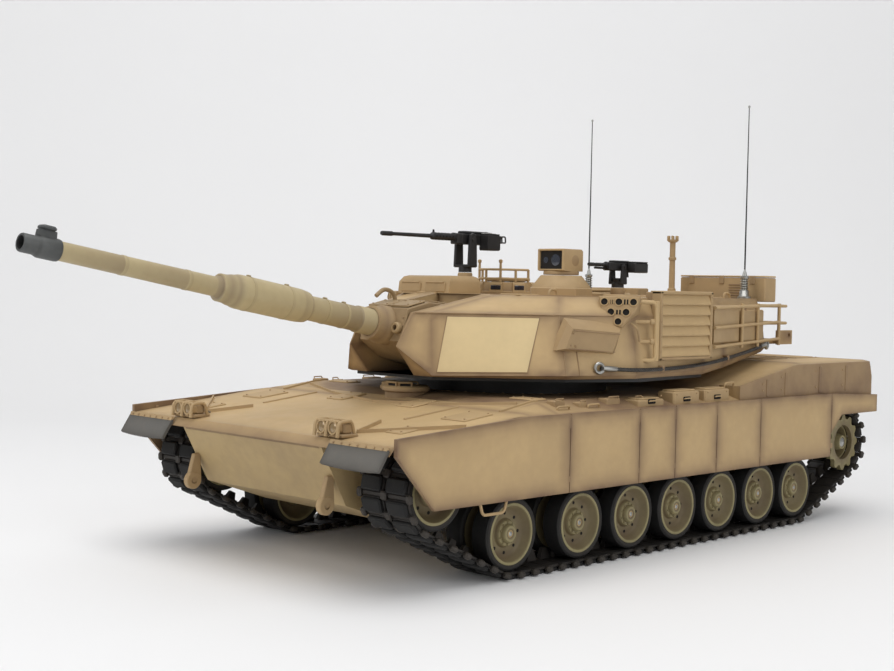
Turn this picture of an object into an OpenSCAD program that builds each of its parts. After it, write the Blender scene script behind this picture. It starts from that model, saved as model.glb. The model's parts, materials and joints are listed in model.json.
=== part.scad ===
// Radio-controlled battle tank in one-sixteenth scale, in millimetres.
// +X is forward, +Y is the left side and Z = 0 is the ground under the track pads.
// Lengths along the hull are stations: distances behind the nose, turned into X by st().

/* [Hull] */
// Width over the side skirts
hull_w = 228.6; // [226:0.1:232]
// Nose to the rear ends of the skirts
hull_l = 471.7; // [470:0.1:480]
// Width of the tub between the tracks
tub_w = 120; // [116:0.5:121]
// Belly above the ground
belly_z = 27; // [25:0.5:29]
// Flat roof of the hull under the turret
deck_z = 92; // [91:0.25:92.5]
// Raised engine deck at the rear
engine_z = 108.5; // [104:0.5:108.5]
// Thickness of the moulded walls
wall = 2.5; // [2:0.1:3]

/* [Skirts and guards] */
// Bottom edge of the side skirts
skirt_low = 44.2; // [42:0.1:48]
// Top edge of the side skirts
skirt_top = 87; // [85:0.5:88]
// Thickness of a skirt panel
skirt_t = 2.4; // [2:0.1:2.6]
// Gap between neighbouring skirt panels
skirt_gap = 0.5; // [0.3:0.1:0.8]

/* [Running gear] */
// Radius of a road wheel over its tyre
wheel_r = 19.75; // [19.4:0.05:19.8]
// Width of a road wheel pair
wheel_w = 30; // [28:0.5:31]
// Gap between the two discs of a pair, where the track's guide horns run
horn_gap = 7; // [6:0.5:8]
// Radius of a road wheel axle
axle_r = 2; // [1.8:0.1:2.2]
// Teeth on each ring of the drive sprocket
teeth = 12; // [10:1:13]
// Height of the idler's axle above the ground
idler_z = 51; // [50:0.25:52]
// Height of the sprocket's axle above the ground
sprocket_z = 50.5; // [50:0.25:52]
// Swing arm from pivot to axle, along the hull
arm_x = 24; // [22:0.5:25]
// Swing arm from pivot to axle, upwards
arm_z = 9; // [8:0.5:10]

/* [Track] */
// Width of a track
track_w = 39.7; // [38:0.1:40]
// Middle of a track from the middle of the hull
track_y = 88.9; // [88.5:0.1:89.2]
// Thickness of a track from its pads to its inner face
track_t = 3.9; // [3.5:0.1:4]

/* [Turret] */
// Turret axis behind the nose
turret_st = 207; // [205:0.5:209]
// Underside of the turret
turret_low = 103; // [102.5:0.25:104]
// Roof of the turret
roof_z = 150; // [149:0.5:151]
// Radius of the turret's neck in the hull roof
neck_r = 62; // [60:0.5:63]

/* [Gun] */
// Elevation of the gun at rest, in degrees
gun_rest = 9.8; // [8:0.1:12]
// Trunnion ahead of the turret axis
trunnion_x = 70; // [68:0.5:72]
// Trunnion above the ground
trunnion_z = 124.6; // [124:0.1:125.5]
// Muzzle from the trunnion along the bore
gun_l = 270.2; // [250:0.1:285]
// Radius of the bore
bore_r = 3.2; // [2.8:0.1:3.4]

/* [Roof equipment] */
// Height of the whip antennas above the ground
whip_top = 281; // [240:1:300]
// Radius of a whip
whip_r = 0.6; // [0.5:0.1:0.8]
// Axis of the heavy machine gun above the ground
heavy_z = 186; // [184:0.5:188]
// Axis of the light machine gun above the ground
light_z = 169; // [168:0.5:171]

/* [Hidden] */
$fn = 64;
e = 0.01;

// The muzzle's overhang past the nose, and the nose that centres the model on X = 0
muzzle_r = 4.6;
gun_reach = trunnion_x + gun_l * cos(gun_rest) + muzzle_r * sin(gun_rest);
nose_x = (hull_l - (gun_reach - turret_st)) / 2;
turret_x = nose_x - turret_st;
function st(d) = nose_x - d;

tan_paint = [0.76, 0.66, 0.47];
dark = [0.16, 0.16, 0.16];
steel = [0.5, 0.5, 0.52];

// A solid slab whose outline lies in X and Z and whose thickness runs from y0 to y1
module side_plate(outline, y0, y1) {
    translate([0, y1, 0])
        rotate([90, 0, 0])
            linear_extrude(y1 - y0)
                polygon(outline);
}

// A cylinder along Y between two places
module y_rod(x, z, y0, y1, r) {
    translate([x, min(y0, y1), z])
        rotate([-90, 0, 0])
            cylinder(h = abs(y1 - y0), r = r);
}

// A round rod from one point to another
module rod(a, b, r) {
    v = b - a;
    translate(a)
        rotate([0, acos(v.z / norm(v)), atan2(v.y, v.x)])
            cylinder(h = norm(v), r = r);
}

// Everything that the left side has, on the right side too
module both_sides() {
    children();
    mirror([0, 1, 0])
        children();
}

// ---- Hull ----

// Outline of the hull from the side, as stations and heights
glacis = [[2, 73], [6, 77], [102, 88], [125, deck_z]];
function roofline(drop) = [
    for (p = concat(glacis, [[280, deck_z], [372, engine_z], [464, engine_z], [468, 96], [463, 73]]))
        [st(p.x), p.y - drop]
];

module tub_outline(t) {
    outline = [[3 + t, 73], [20.5 + t, 41 + t / 2], [62, belly_z + t], [432, belly_z + t],
               [457 - t, 47 + t / 2], [463 - t, 73]];
    polygon([for (p = outline) [st(p.x), p.y]]);
}

module lower_hull() {
    inner = tub_w / 2 - wall;
    color(tan_paint)
        difference() {
            union() {
                translate([0, tub_w / 2, 0])
                    rotate([90, 0, 0])
                        linear_extrude(tub_w)
                            tub_outline(0);
                // Stub axles that carry the idlers
                both_sides()
                    y_rod(st(42), idler_z, tub_w / 2 - 4, track_y + wheel_w / 2 - 2, 3);
            }
            // Room inside, open at the top
            translate([0, inner, 0])
                rotate([90, 0, 0])
                    linear_extrude(2 * inner)
                        tub_outline(wall);
            translate([st(455), -inner, 72])
                cube([445, 2 * inner, 2]);
            // Bearings of the swing arms and of the drive shafts
            for (i = [0:6])
                y_rod(wheel_x(i) + arm_x, wheel_z + arm_z, -tub_w, tub_w, 3.05);
            y_rod(st(445), sprocket_z, -tub_w, tub_w, 3.05);
            // Slot of the power switch in the belly
            translate([st(260) - 6, -2.5, belly_z - 1])
                cube([12, 5, wall + 2]);
        }
}

module upper_hull() {
    half = hull_w / 2 - skirt_t - 0.2;
    color(tan_paint)
        difference() {
            intersection() {
                side_plate(roofline(0), -half, half);
                // Edges of the roof slope down to the skirts
                rotate([90, 0, 90])
                    translate([0, 0, st(480)])
                        linear_extrude(500)
                            polygon([[-half, 70], [half, 70], [half, engine_z - 1], [half - 5, engine_z + 1],
                                     [5 - half, engine_z + 1], [-half, engine_z - 1]]);
            }
            // The shoulders fall away beside the turret
            both_sides()
                translate([st(300), 0, 0])
                    rotate([90, 0, 90])
                        linear_extrude(308)
                            polygon([[96, deck_z + 30], [96, deck_z + 0.01], [half + 1, deck_z - 5.5],
                                     [half + 1, deck_z + 30]]);
            // Room under the roof, over the tub and over each track
            side_plate([for (p = [[9, 72], [104, 84.5], [127, deck_z - wall], [282, deck_z - wall],
                                  [374, engine_z - wall], [460, engine_z - wall], [460, 72]]) [st(p.x), p.y]],
                       -57, 57);
            both_sides()
                side_plate([for (p = [[15, 76.01], [104, 83], [127, deck_z - 6], [282, deck_z - 6],
                                      [374, engine_z - 6], [460, engine_z - 6], [460, 76.01]]) [st(p.x), p.y]],
                           60.5, half - wall);
            // Sponson floors sit just above the tracks
            both_sides()
                translate([st(480), tub_w / 2, 60])
                    cube([500, 60, 16]);
            // Turret ring
            translate([turret_x, 0, deck_z - 10])
                cylinder(h = 30, r = neck_r + 0.3, $fn = 96);
            // Driver's opening
            translate([st(118), 0, deck_z - 20])
                cylinder(h = 40, r = 10);
        }
    // Coaming round the driver's opening
    color(tan_paint)
        difference() {
            translate([st(118), 0, deck_z - 4])
                cylinder(h = 4, r = 12.5);
            translate([st(118), 0, deck_z - 20])
                cylinder(h = 40, r = 10);
        }
    // Boxes and grab handles along each shoulder
    color(tan_paint)
        both_sides() {
            for (s = [258, 290])
                translate([st(s), 98, 86])
                    cube([26, 12, 9]);
            for (s = [225, 300])
                rod([st(s), 108, 90.5], [st(s) + 12, 108, 90.5], 0.6);
        }
    // Louvred plates of the engine deck
    color(tan_paint)
        for (x = [385, 425], y = [-78, -26, 26])
            translate([st(x + 30), y, engine_z - 0.5])
                cube([30, 50, 1.3]);
}

// Stations of the seams between skirt panels
seams = [132.7, 194.3, 229.1, 271.8, 320.7, 408.7];
// Skirt outline ahead of the first seam, and the strip that clears the sprocket
function skirt_outline(a, b) =
    a == 0 ? [[4, 73], [4.5, 81], [100, skirt_top], [b, skirt_top], [b, skirt_low], [30.5, skirt_low]]
    : b > 460 ? [[a, skirt_top], [b, skirt_top - 3], [b, 72], [a + 14, 72], [a, 60]]
    : [[a, skirt_top], [b, skirt_top], [b, skirt_low], [a, skirt_low]];

module side_skirts() {
    ends = concat([0], seams, [hull_l]);
    color(tan_paint)
        both_sides() {
            for (i = [0:6])
                side_plate([for (p = skirt_outline(ends[i] == 0 ? 0 : ends[i] + skirt_gap, ends[i + 1]))
                                [st(p.x), p.y]],
                           hull_w / 2 - skirt_t, hull_w / 2);
            // Boarding loop that hangs from the first panel
            rod([st(64), hull_w / 2 - 1.3, skirt_low + 2], [st(66), hull_w / 2 - 1.3, skirt_low - 6], 0.9);
            rod([st(84), hull_w / 2 - 1.3, skirt_low + 2], [st(82), hull_w / 2 - 1.3, skirt_low - 6], 0.9);
            rod([st(66), hull_w / 2 - 1.3, skirt_low - 6], [st(82), hull_w / 2 - 1.3, skirt_low - 6], 0.9);
        }
}

module mudguards() {
    color(dark)
        both_sides() {
            // Flap hung from the nose of the sponson
            side_plate([[st(1.9), 72.8], [st(1.5), 76.5], [st(-5), 66], [st(-3.5), 63.7]], 68.3, 111.5);
        }
}

module lamps_and_hooks() {
    color(tan_paint)
        difference() {
            lamps_and_hooks_untrimmed();
            hull_block();
        }
}

// The hull as one block, for trimming what is fastened to it
module hull_block() {
    side_plate(roofline(0), -hull_w / 2, hull_w / 2);
    translate([0, tub_w / 2, 0])
        rotate([90, 0, 0])
            linear_extrude(tub_w)
                tub_outline(0);
}

module lamps_and_hooks_untrimmed() {
        both_sides() {
            // Headlamp pod with its guard
            translate([st(9), 54, 77.5])
                cube([8, 18, 1.5]);
            for (y = [58, 67])
                translate([st(8), y, 82.2])
                    rotate([0, 90, 0])
                        cylinder(h = 8, r = 3.4);
            // Tow hook under the nose
            translate([st(13), 55.5, 46])
                cube([6, 4.4, 12]);
            translate([st(8), 59.9, 42])
                rotate([90, 0, 0])
                    difference() {
                        cylinder(h = 4.4, r = 5);
                        translate([0, 0, -1])
                            cylinder(h = 7, r = 2);
                    }
            // Tail lamp box
            translate([st(470), 60, 88])
                cube([5, 16, 7]);
        }
}

// ---- Tracks and running gear ----

gaps = [57, 47, 45, 45, 45, 44];
function sum(v, n) = n == 0 ? 0 : v[n - 1] + sum(v, n - 1);
function wheel_x(i) = st(98.7 + sum(gaps, i));
wheel_z = track_t + 0.4 + wheel_r;
belt_in = wheel_r + 0.4;

// Circles that the track wraps, counter-clockwise: last wheel, first wheel, idler, sprocket
wraps = [[wheel_x(6), wheel_z], [wheel_x(0), wheel_z], [st(42), idler_z], [st(445), sprocket_z]];
function heading(a, b) = atan2(b.y - a.y, b.x - a.x);
// Angle at which the straight run from wrap i leaves it, all wraps having one radius
function leave(i) = heading(wraps[i % 4], wraps[(i + 1) % 4]) - 90;
function belt(r, steps = 16) = [
    for (i = [0:3])
        let (from = leave((i + 3) % 4), turn = (leave(i) - from + 720) % 360)
            for (k = [0:steps])
                let (a = from + turn * k / steps)
                    wraps[i] + r * [cos(a), sin(a)]
];

module track(side) {
    y = side * track_y;
    color(dark)
        difference() {
            side_plate(belt(belt_in + track_t), y - track_w / 2, y + track_w / 2);
            side_plate(belt(belt_in), y - track_w, y + track_w);
        }
}

// Half profile of a road wheel disc: hub, dished web and rim, from its inner face outwards
module disc_profile(flip) {
    w = (wheel_w - horn_gap) / 2;
    polygon([[axle_r + 0.06, 0], [6, 0], [6, w * 0.35], [wheel_r - 4.5, w * 0.35], [wheel_r - 4, 0],
             [wheel_r - 2.3, 0], [wheel_r - 2.3, w], [wheel_r - 4, w], [wheel_r - 5.5, w * 0.62],
             [7, w * 0.62], [5, w], [axle_r + 0.06, w]]);
}

module tyre() {
    w = (wheel_w - horn_gap) / 2;
    difference() {
        cylinder(h = w, r = wheel_r);
        translate([0, 0, -1])
            cylinder(h = w + 2, r = wheel_r - 2.29);
    }
}

// A pair of discs with tyres on one hub, at its place on the given side
module wheel_pair(x, z, side) {
    translate([x, side * (track_y - wheel_w / 2), z])
        rotate([-90 * side, 0, 0]) {
            color(tan_paint) {
                rotate_extrude()
                    translate([0, wheel_w - (wheel_w - horn_gap) / 2])
                        disc_profile();
                translate([0, 0, (wheel_w - horn_gap) / 2])
                    mirror([0, 0, 1])
                        rotate_extrude()
                            disc_profile();
                difference() {
                    translate([0, 0, (wheel_w - horn_gap) / 2 - e])
                        cylinder(h = horn_gap + 2 * e, r = 5);
                    cylinder(h = wheel_w, r = axle_r + 0.06);
                }
            }
            color(dark) {
                tyre();
                translate([0, 0, wheel_w - (wheel_w - horn_gap) / 2])
                    tyre();
            }
        }
}

// Swing arm: shaft through the hull wall, arm, and axle for the wheel
module arm(i, side) {
    x = wheel_x(i);
    a = atan2(arm_z, arm_x);
    color(steel) {
        y_rod(x + arm_x, wheel_z + arm_z, side * (tub_w / 2 - 9), side * (tub_w / 2 + 4), 3);
        y_rod(x, wheel_z, side * (tub_w / 2 + 3), side * (track_y + wheel_w / 2 - 1), axle_r);
        y_rod(x + arm_x, wheel_z + arm_z, side * (tub_w / 2 + 1), side * (tub_w / 2 + 7), 5);
        y_rod(x, wheel_z, side * (tub_w / 2 + 1), side * (tub_w / 2 + 7), 4.5);
        translate([x, side * (tub_w / 2 + 4), wheel_z])
            rotate([0, -a, 0])
                translate([0, -2.5, -3])
                    cube([norm([arm_x, arm_z]), 5, 6]);
    }
}

module idler(side) {
    translate([0, 0, 0])
        difference() {
            wheel_pair(st(42), idler_z, side);
            y_rod(st(42), idler_z, side * (track_y - wheel_w), side * (track_y + wheel_w), 3.06);
        }
}

// One toothed ring with a round opening
module tooth_ring(w) {
    difference() {
        union() {
            cylinder(h = w, r = 16.8);
            for (k = [0:teeth - 1])
                rotate([0, 0, k * 360 / teeth])
                    linear_extrude(w)
                        polygon([[16, -2.6], [wheel_r - 0.2, -1.1], [wheel_r - 0.2, 1.1], [16, 2.6]]);
        }
        translate([0, 0, -1])
            cylinder(h = w + 2, r = 12.5);
    }
}

module sprocket(side) {
    translate([st(445), side * (track_y - wheel_w / 2), sprocket_z])
        rotate([-90 * side, 0, 0]) {
            color(tan_paint) {
                translate([0, 0, 0.5])
                    tooth_ring(3);
                translate([0, 0, wheel_w - 3.5])
                    tooth_ring(3);
                // Drum that joins the rings, closed by a dished cover
                difference() {
                    translate([0, 0, 3])
                        cylinder(h = wheel_w - 6, r = 14.5);
                    translate([0, 0, 11])
                        cylinder(h = wheel_w, r = 12.5);
                    translate([0, 0, 2])
                        cylinder(h = 6, r = 12.5);
                }
                cylinder(h = wheel_w - 10, r = 5);
            }
            color(steel)
                translate([0, 0, wheel_w / 2 - track_y + tub_w / 2 - 14])
                    cylinder(h = track_y - tub_w / 2 + 8, r = 3);
        }
}

// ---- Inside the hull ----

module drive_units() {
    color(steel)
        both_sides()
            difference() {
                union() {
                    // Gearbox case and its motor
                    intersection() {
                        translate([st(456), 34, 34])
                            cube([40, 16, 34]);
                        translate([0, 60, 0])
                            rotate([90, 0, 0])
                                linear_extrude(60)
                                    tub_outline(wall + 0.5);
                    }
                    translate([st(416), 40, 42])
                        rotate([0, 90, 0])
                            cylinder(h = 46, r = 11);
                }
                y_rod(st(445), sprocket_z, 20, 60, 3.05);
            }
}

module battery() {
    color([0.2, 0.3, 0.45])
        translate([st(250), -23, belly_z + wall + 0.2])
            cube([120, 46, 24]);
}

module electronics() {
    // Radio and motor control board on its posts
    color([0.1, 0.4, 0.2])
        translate([st(110), -35, 52])
            cube([55, 70, 1.6]);
    color(dark)
        for (s = [72, 104], y = [-30, 30])
            translate([st(s), y, belly_z + wall + 0.2])
                cylinder(h = 52 - belly_z - wall - 0.2, r = 2);
    color(dark)
        translate([st(98), -12, 53.6])
            cube([22, 24, 6]);
    // Speaker, facing up under the engine deck
    color(dark)
        translate([st(330), 0, belly_z + wall + 0.2])
            difference() {
                cylinder(h = 18, r = 25);
                translate([0, 0, 15])
                    cylinder(h = 5, r1 = 10, r2 = 22);
            }
}

module power_switch() {
    color(dark)
        translate([st(260) - 3.5, -2.2, belly_z - 2])
            cube([5, 4.4, 5]);
}

module driver_hatch() {
    color(tan_paint) {
        translate([st(118), 0, deck_z + 0.3])
            cylinder(h = 2.2, r = 14);
        // Three periscopes across the front of the lid
        for (a = [-45, 0, 45])
            translate([st(118), 0, deck_z + 2.4])
                rotate([0, 0, a])
                    translate([6, -4.2, 0])
                        cube([6, 8.4, 3.6]);
        translate([st(118), -17, deck_z + 0.3])
            cylinder(h = 3, r = 3.4);
        translate([st(118) - 2.5, -17, deck_z + 0.3])
            cube([5, 6, 2.2]);
    }
}

// ---- Turret, in its own frame with the axis at X = 0 ----

module at_turret() {
    translate([turret_x, 0, 0])
        children();
}

// Half outlines of the shell, from the front inner corner back, at four heights
low_edge = [[103, 36], [48, 88], [5, 108], [-72, 98]];
mid_edge = [[116, 20], [50, 91.5], [5, 110], [-72, 104], [-172, 80]];
brow_edge = [[105, 22], [46, 80], [5, 102], [-72, 99], [-172, 77]];
roof_edge = [[46, 22], [30, 66], [2, 94], [-72, 94], [-168, 74]];
tail_edge = [[-100, 95], [-172, 76]];

// A thin slice of the shell's outline at height z, drawn in by t
module slice(edge, z, t) {
    half = [for (p = edge) [p.x - sign(p.x) * t, p.y - t]];
    back = [for (i = [len(half) - 1:-1:0]) [half[i].x, -half[i].y]];
    translate([0, 0, z])
        linear_extrude(0.05)
            polygon(concat(half, back));
}

module shell_solid(t) {
    hull() {
        slice(low_edge, turret_low - (t > 0 ? 4 : 0), t);
        slice(tail_edge, turret_low + 11 + t, t);
        slice(mid_edge, 119.7, t);
        slice(brow_edge, 139 - t, t);
        slice(roof_edge, roof_z - 0.05 - t, t);
    }
}

module turret_shell() {
    color(tan_paint)
        at_turret()
            difference() {
                shell_solid(0);
                difference() {
                    shell_solid(wall);
                    // Cheek walls beside the mantlet
                    both_sides()
                        translate([40, 19.2, 90])
                            cube([90, wall, 70]);
                }
                // Slot for the gun mantlet, and the trunnion bearings
                translate([48, -19.2, 90])
                    cube([90, 38.4, 70]);
                y_rod(trunnion_x, trunnion_z, -40, 40, 3.05);
                // Hatchways
                translate([-38, -38, roof_z - 10])
                    cylinder(h = 20, r = 11);
                translate([-48, 37, roof_z - 10])
                    cylinder(h = 20, r = 10.5);
            }
}

module turret_base() {
    color(tan_paint)
        at_turret() {
            translate([0, 0, turret_low - 2])
                difference() {
                    linear_extrude(2)
                        polygon([for (p = concat([for (q = low_edge) [q.x - 4, q.y - 4]],
                                                 [for (i = [3:-1:0]) [low_edge[i].x - 4, 4 - low_edge[i].y]])) p]);
                    translate([0, 0, -1])
                        cylinder(h = 4, r = neck_r - 22, $fn = 96);
                }
            translate([0, 0, deck_z - 8])
                difference() {
                    cylinder(h = turret_low - deck_z + 6 + e, r = neck_r, $fn = 96);
                    translate([0, 0, -1])
                        cylinder(h = 30, r = neck_r - 4, $fn = 96);
                }
        }
}

// An eight-sided rail from one point to another
module rail(a, b) {
    rod(a, b, 1.1, $fn = 8);
}

// Side wall of the bustle, where the racks hang: y at a given x behind the louvres
function rack_y(x) = 104 + (x + 72) * 24 / 110;

module turret_racks() {
    rear = -192;
    color(tan_paint)
        at_turret()
        difference() {
            union() {
            both_sides() {
                // Louvred box on the bustle's flank
                translate([-72, 97.5, 113])
                    cube([54, 7, 41.3]);
                // Hoop in front of it
                rail([-8, 104, 112], [-8, 104, 148]);
                for (z = [113, 146.5])
                    translate([-18.5, 103, z - 1])
                        cube([10, 2, 2]);
                // Three rails that follow the bustle to the rear corner
                for (h = [[120, 123], [132, 134.5], [144.5, 146]])
                    rail([-71.5, 103.5, h.x], [rear - 1, rack_y(rear - 1), h.y]);
                for (x = [-122, rear])
                    translate([x - 1, rack_y(x) - 1.4, 119])
                        cube([2, 2.8, 29]);
                // Rear basket: side rails and corner posts
                for (z = [122.5, 134.5, 145])
                    rail([rear + 1, rack_y(rear) - 0.4, z], [rear - 25, rack_y(rear) - 5.4, z - 1]);
                translate([rear - 25, rack_y(rear) - 6.4, 118])
                    cube([2.2, 2.2, 28.5]);
                // Brackets from the bustle's rear wall
                for (z = [122.5, 143.5])
                    translate([rear - 24, 59, z - 1])
                        cube([30, 2, 2]);
            }
            for (z = [121.5, 133, 143])
                translate([rear - 24.8, -rack_y(rear) + 5, z - 0.9])
                    cube([1.8, 2 * rack_y(rear) - 10, 1.8]);
            for (y = [-48, -24, 0, 24, 48])
                translate([rear - 24.6, y - 0.7, 120])
                    cube([1.4, 1.4, 24.5]);
            // Floor of the basket
            translate([rear - 23, -68, 120])
                cube([43, 136, 1.2]);
            }
            shell_solid(0);
        }
}

// Six launcher tubes in three rows on a bracket, tilted up and out
module launcher() {
    difference() {
        rotate([90, 0, 90])
            linear_extrude(20)
                polygon([[-15, 9], [15, 9], [13, -1], [3, -14], [-3, -14], [-13, -1]]);
        for (p = [[-10.5, 4.5], [0, 4.5], [10.5, 4.5], [-5.5, -3.5], [5.5, -3.5], [0, -10.5]])
            translate([8, p.x, p.y])
                rotate([0, 90, 0])
                    cylinder(h = 20, r = 2.6);
    }
}

module turret_fittings() {
    color(tan_paint)
        at_turret()
            difference() {
                fittings_untrimmed();
                shell_solid(0);
                // Room for the hoop behind the launchers
                both_sides()
                    translate([-32, 96, 110])
                        cube([26.5, 20, 44]);
            }
}

module fittings_untrimmed() {
    union() {
            // Gunner's sight housing with its roof
            translate([8, -64, roof_z - 4])
                cube([28, 46, 14]);
            translate([4, -66, 160])
                cube([34, 50, 1.2]);
            // Commander's cupola, pierced for the hatchway
            difference() {
                union() {
                    translate([-38, -38, roof_z - 0.5])
                        cylinder(h = 8.5, r = 19.5);
                    for (k = [0:7])
                        translate([-38, -38, roof_z])
                            rotate([0, 0, k * 45 + 22.5])
                                translate([15, -4, 0])
                                    cube([5.5, 8, 7]);
                }
                translate([-38, -38, roof_z - 2])
                    cylinder(h = 20, r = 11);
            }
            // Loader's ring
            difference() {
                translate([-48, 37, roof_z - 0.5])
                    cylinder(h = 3, r = 17);
                translate([-48, 37, roof_z - 2])
                    cylinder(h = 20, r = 10.5);
            }
            // Pedestals of the two machine guns
            translate([5, -35, roof_z - 0.5])
                cylinder(h = 14, r = 5);
            translate([-33, 60, roof_z - 0.5])
                cylinder(h = 6, r = 4.5);
            // Pedestal of the panoramic sight
            translate([0, 42, roof_z - 0.5])
                cylinder(h = 4, r = 20, $fn = 8);
            translate([0, 42, roof_z + 3.4])
                cylinder(h = 9, r = 15.5, $fn = 8);
            // Wind sensor mast
            translate([-159, 10, roof_z - 0.5])
                cylinder(h = 7, r = 4);
            translate([-159, 10, roof_z])
                cylinder(h = 40, r = 2);
            translate([-159, 10, 189])
                cylinder(h = 4.5, r = 4);
            // Equipment box at the rear of the roof
            translate([-186, 8, roof_z - 2])
                cube([14, 70, 18]);
            // Smoke launchers and armour covers on the flanks
            both_sides() {
                translate([5, 92, 141])
                    rotate([0, -12, 32])
                        translate([-10, 0, 0])
                            launcher();
                translate([20, 96, 120])
                    rotate([0, 8, -14])
                        cube([34, 9, 15]);
            }
        }
}

module antennas() {
    at_turret()
        both_sides() {
            color(steel) {
                translate([-162, 68, roof_z])
                    cylinder(h = 2, r = 3.5);
                translate([-162, 68, roof_z])
                    cylinder(h = 18, r = 1.5);
            }
            color(dark)
                translate([-162, 68, roof_z + 17])
                    cylinder(h = whip_top - roof_z - 17, r = whip_r);
        }
}

// Places that the tow cable runs through, from its front eye to its rear eye
cable_run = [[30, 101.5, 109.5], [6, 111, 108.3], [-35, 107.6, 108.3], [-80, 103.6, 110.5],
             [-125, 95.5, 115], [-168, 86.5, 119.5]];

module tow_cables() {
    color(dark)
        at_turret()
            both_sides() {
                for (i = [0:len(cable_run) - 2])
                    let (a = cable_run[i], b = cable_run[i + 1], along = (b - a) / norm(b - a))
                        rod(a - 0.5 * along, b + 0.5 * along, i % 2 == 0 ? 1.3 : 1.2, $fn = 10);
                // Eyes at both ends
                for (p = [cable_run[0], cable_run[len(cable_run) - 1]])
                    translate(p)
                        rotate([90, 0, 0])
                            difference() {
                                cylinder(h = 3, r = 3.6, center = true);
                                cylinder(h = 4, r = 1.6, center = true);
                            }
            }
}

module turret_drives() {
    color(steel)
        at_turret() {
            // Elevation gearbox and motor beside the trunnion
            translate([28, 24, turret_low + 0.2])
                cube([24, 20, 22]);
            // Traverse motor and the pinion case that works in the ring
            translate([-52, -12, turret_low + 0.2])
                cylinder(h = 30, r = 9);
            translate([-58, -34, turret_low + 0.2])
                cube([12, 14, 8]);
        }
}

// ---- Gun, drawn level with the trunnion at the origin ----

module at_gun() {
    translate([turret_x + trunnion_x, 0, trunnion_z])
        rotate([0, -gun_rest, 0])
            children();
}

module gun_mantlet() {
    w = 18.6;
    color(tan_paint)
        at_gun()
            difference() {
                union() {
                    y_rod(0, 0, -w, w, 19);
                    side_plate([[0, 19], [22, 17], [39, 10], [39, -9], [26, -17], [0, -19]], -w, w);
                    y_rod(0, 0, -w - 4.5, w + 4.5, 3);
                }
                // Bore for the barrel sleeve
                translate([-40, 0, 0])
                    rotate([0, 90, 0])
                        cylinder(h = 100, r = 8.05);
                // Port of the coaxial gun
                translate([20, -13, 3])
                    rotate([0, 90, 0])
                        cylinder(h = 40, r = 1.6);
            }
}

module gun_barrel() {
    color([0.72, 0.66, 0.46])
        at_gun()
            rotate([0, 90, 0])
                rotate_extrude()
                    polygon([[bore_r, -22], [7.75, -22], [7.75, 60], [6.9, 96], [6.9, 98], [8.7, 100],
                             [9.2, 104], [9.2, 146], [7.4, 153], [7.4, 157], [5.3, 160], [4.7, 251],
                             [5.5, 252], [5.5, 262], [muzzle_r, 263], [muzzle_r, gun_l], [bore_r, gun_l]]);
    // Muzzle sensor bracket
    color(dark)
        at_gun() {
            translate([254, -1.5, 5])
                cube([7, 3, 4]);
            translate([253, -3.5, 8.5])
                cube([9, 7, 2.6]);
        }
}

// ---- Hatches, machine guns and sight head ----

module commander_hatch() {
    color(tan_paint)
        at_turret() {
            translate([-38, -38, roof_z + 8.3])
                cylinder(h = 2.6, r = 13);
            translate([-54, -42, roof_z + 8.3])
                cube([6, 8, 2.6]);
            y_rod(-54, roof_z + 10, -44, -32, 1.3);
        }
}

module loader_hatch() {
    color(tan_paint)
        at_turret() {
            translate([-48, 37, roof_z + 2.8])
                cylinder(h = 2.4, r = 12.5);
            translate([-63, 33, roof_z + 2.8])
                cube([6, 8, 2.4]);
            y_rod(-63, roof_z + 4.2, 31, 43, 1.2);
        }
}

module heavy_mg_mount() {
    z = roof_z + 13.8;
    color(dark)
        at_turret() {
            translate([5, -35, z])
                cylinder(h = 4, r = 4.5);
            // Fork that holds the gun's pins
            for (s = [-1, 1])
                difference() {
                    translate([1, -35 + s * 6.2 - 1.2, z + 3])
                        cube([8, 2.4, heavy_z - z]);
                    y_rod(5, heavy_z - 1, -55, -15, 1.25);
                }
            translate([1, -42, z + 3])
                cube([8, 14, 2]);
        }
}

module heavy_mg() {
    color(dark)
        at_turret() {
            // Receiver with pins, cooling jacket, barrel and ammunition box
            translate([-24, -38.5, heavy_z - 4.5])
                cube([40, 7, 9]);
            y_rod(5, heavy_z - 1, -43, -27, 1.2);
            translate([15, -35, heavy_z])
                rotate([0, 90, 0])
                    cylinder(h = 22, r = 2.4);
            translate([36, -35, heavy_z])
                rotate([0, 90, 0])
                    cylinder(h = 43, r = 1.3);
            translate([-32, -37, heavy_z - 2.5])
                cube([8.5, 4, 5]);
            translate([-16, -31.6, heavy_z - 8])
                cube([12, 8, 11]);
        }
}

module light_mg_mount() {
    z = roof_z + 5.7;
    color(dark)
        at_turret() {
            translate([-33, 60, z])
                cylinder(h = 3, r = 4);
            translate([-35.5, 57.5, z + 2])
                cube([5, 5, 4]);
            for (s = [-1, 1])
                difference() {
                    translate([-36, 60 + s * 4.4 - 0.9, z + 2])
                        cube([6, 1.8, light_z - z - 0.5]);
                    y_rod(-33, light_z - 0.5, 50, 70, 1.05);
                }
            translate([-36, 54.7, z + 2])
                cube([6, 10.6, 1.6]);
        }
}

module light_mg() {
    color(dark)
        at_turret() {
            translate([-47, 57.2, light_z - 3])
                cube([26, 5.6, 6.5]);
            y_rod(-33, light_z - 0.5, 54, 66, 1);
            translate([-22, 60, light_z + 0.5])
                rotate([0, 90, 0])
                    cylinder(h = 18, r = 1.2);
            // Ammunition box on the left side
            translate([-51, 61, light_z - 4])
                cube([13, 9, 7]);
        }
}

module sight_head() {
    color(tan_paint)
        at_turret() {
            translate([0, 42, roof_z + 12.7])
                cylinder(h = 2.5, r = 11);
            difference() {
                translate([-10.5, 31.5, roof_z + 15])
                    cube([21, 21, 13.5]);
                // Recessed window that faces forward
                translate([9, 34.5, roof_z + 17.5])
                    cube([3, 15, 8.5]);
            }
        }
}

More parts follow.
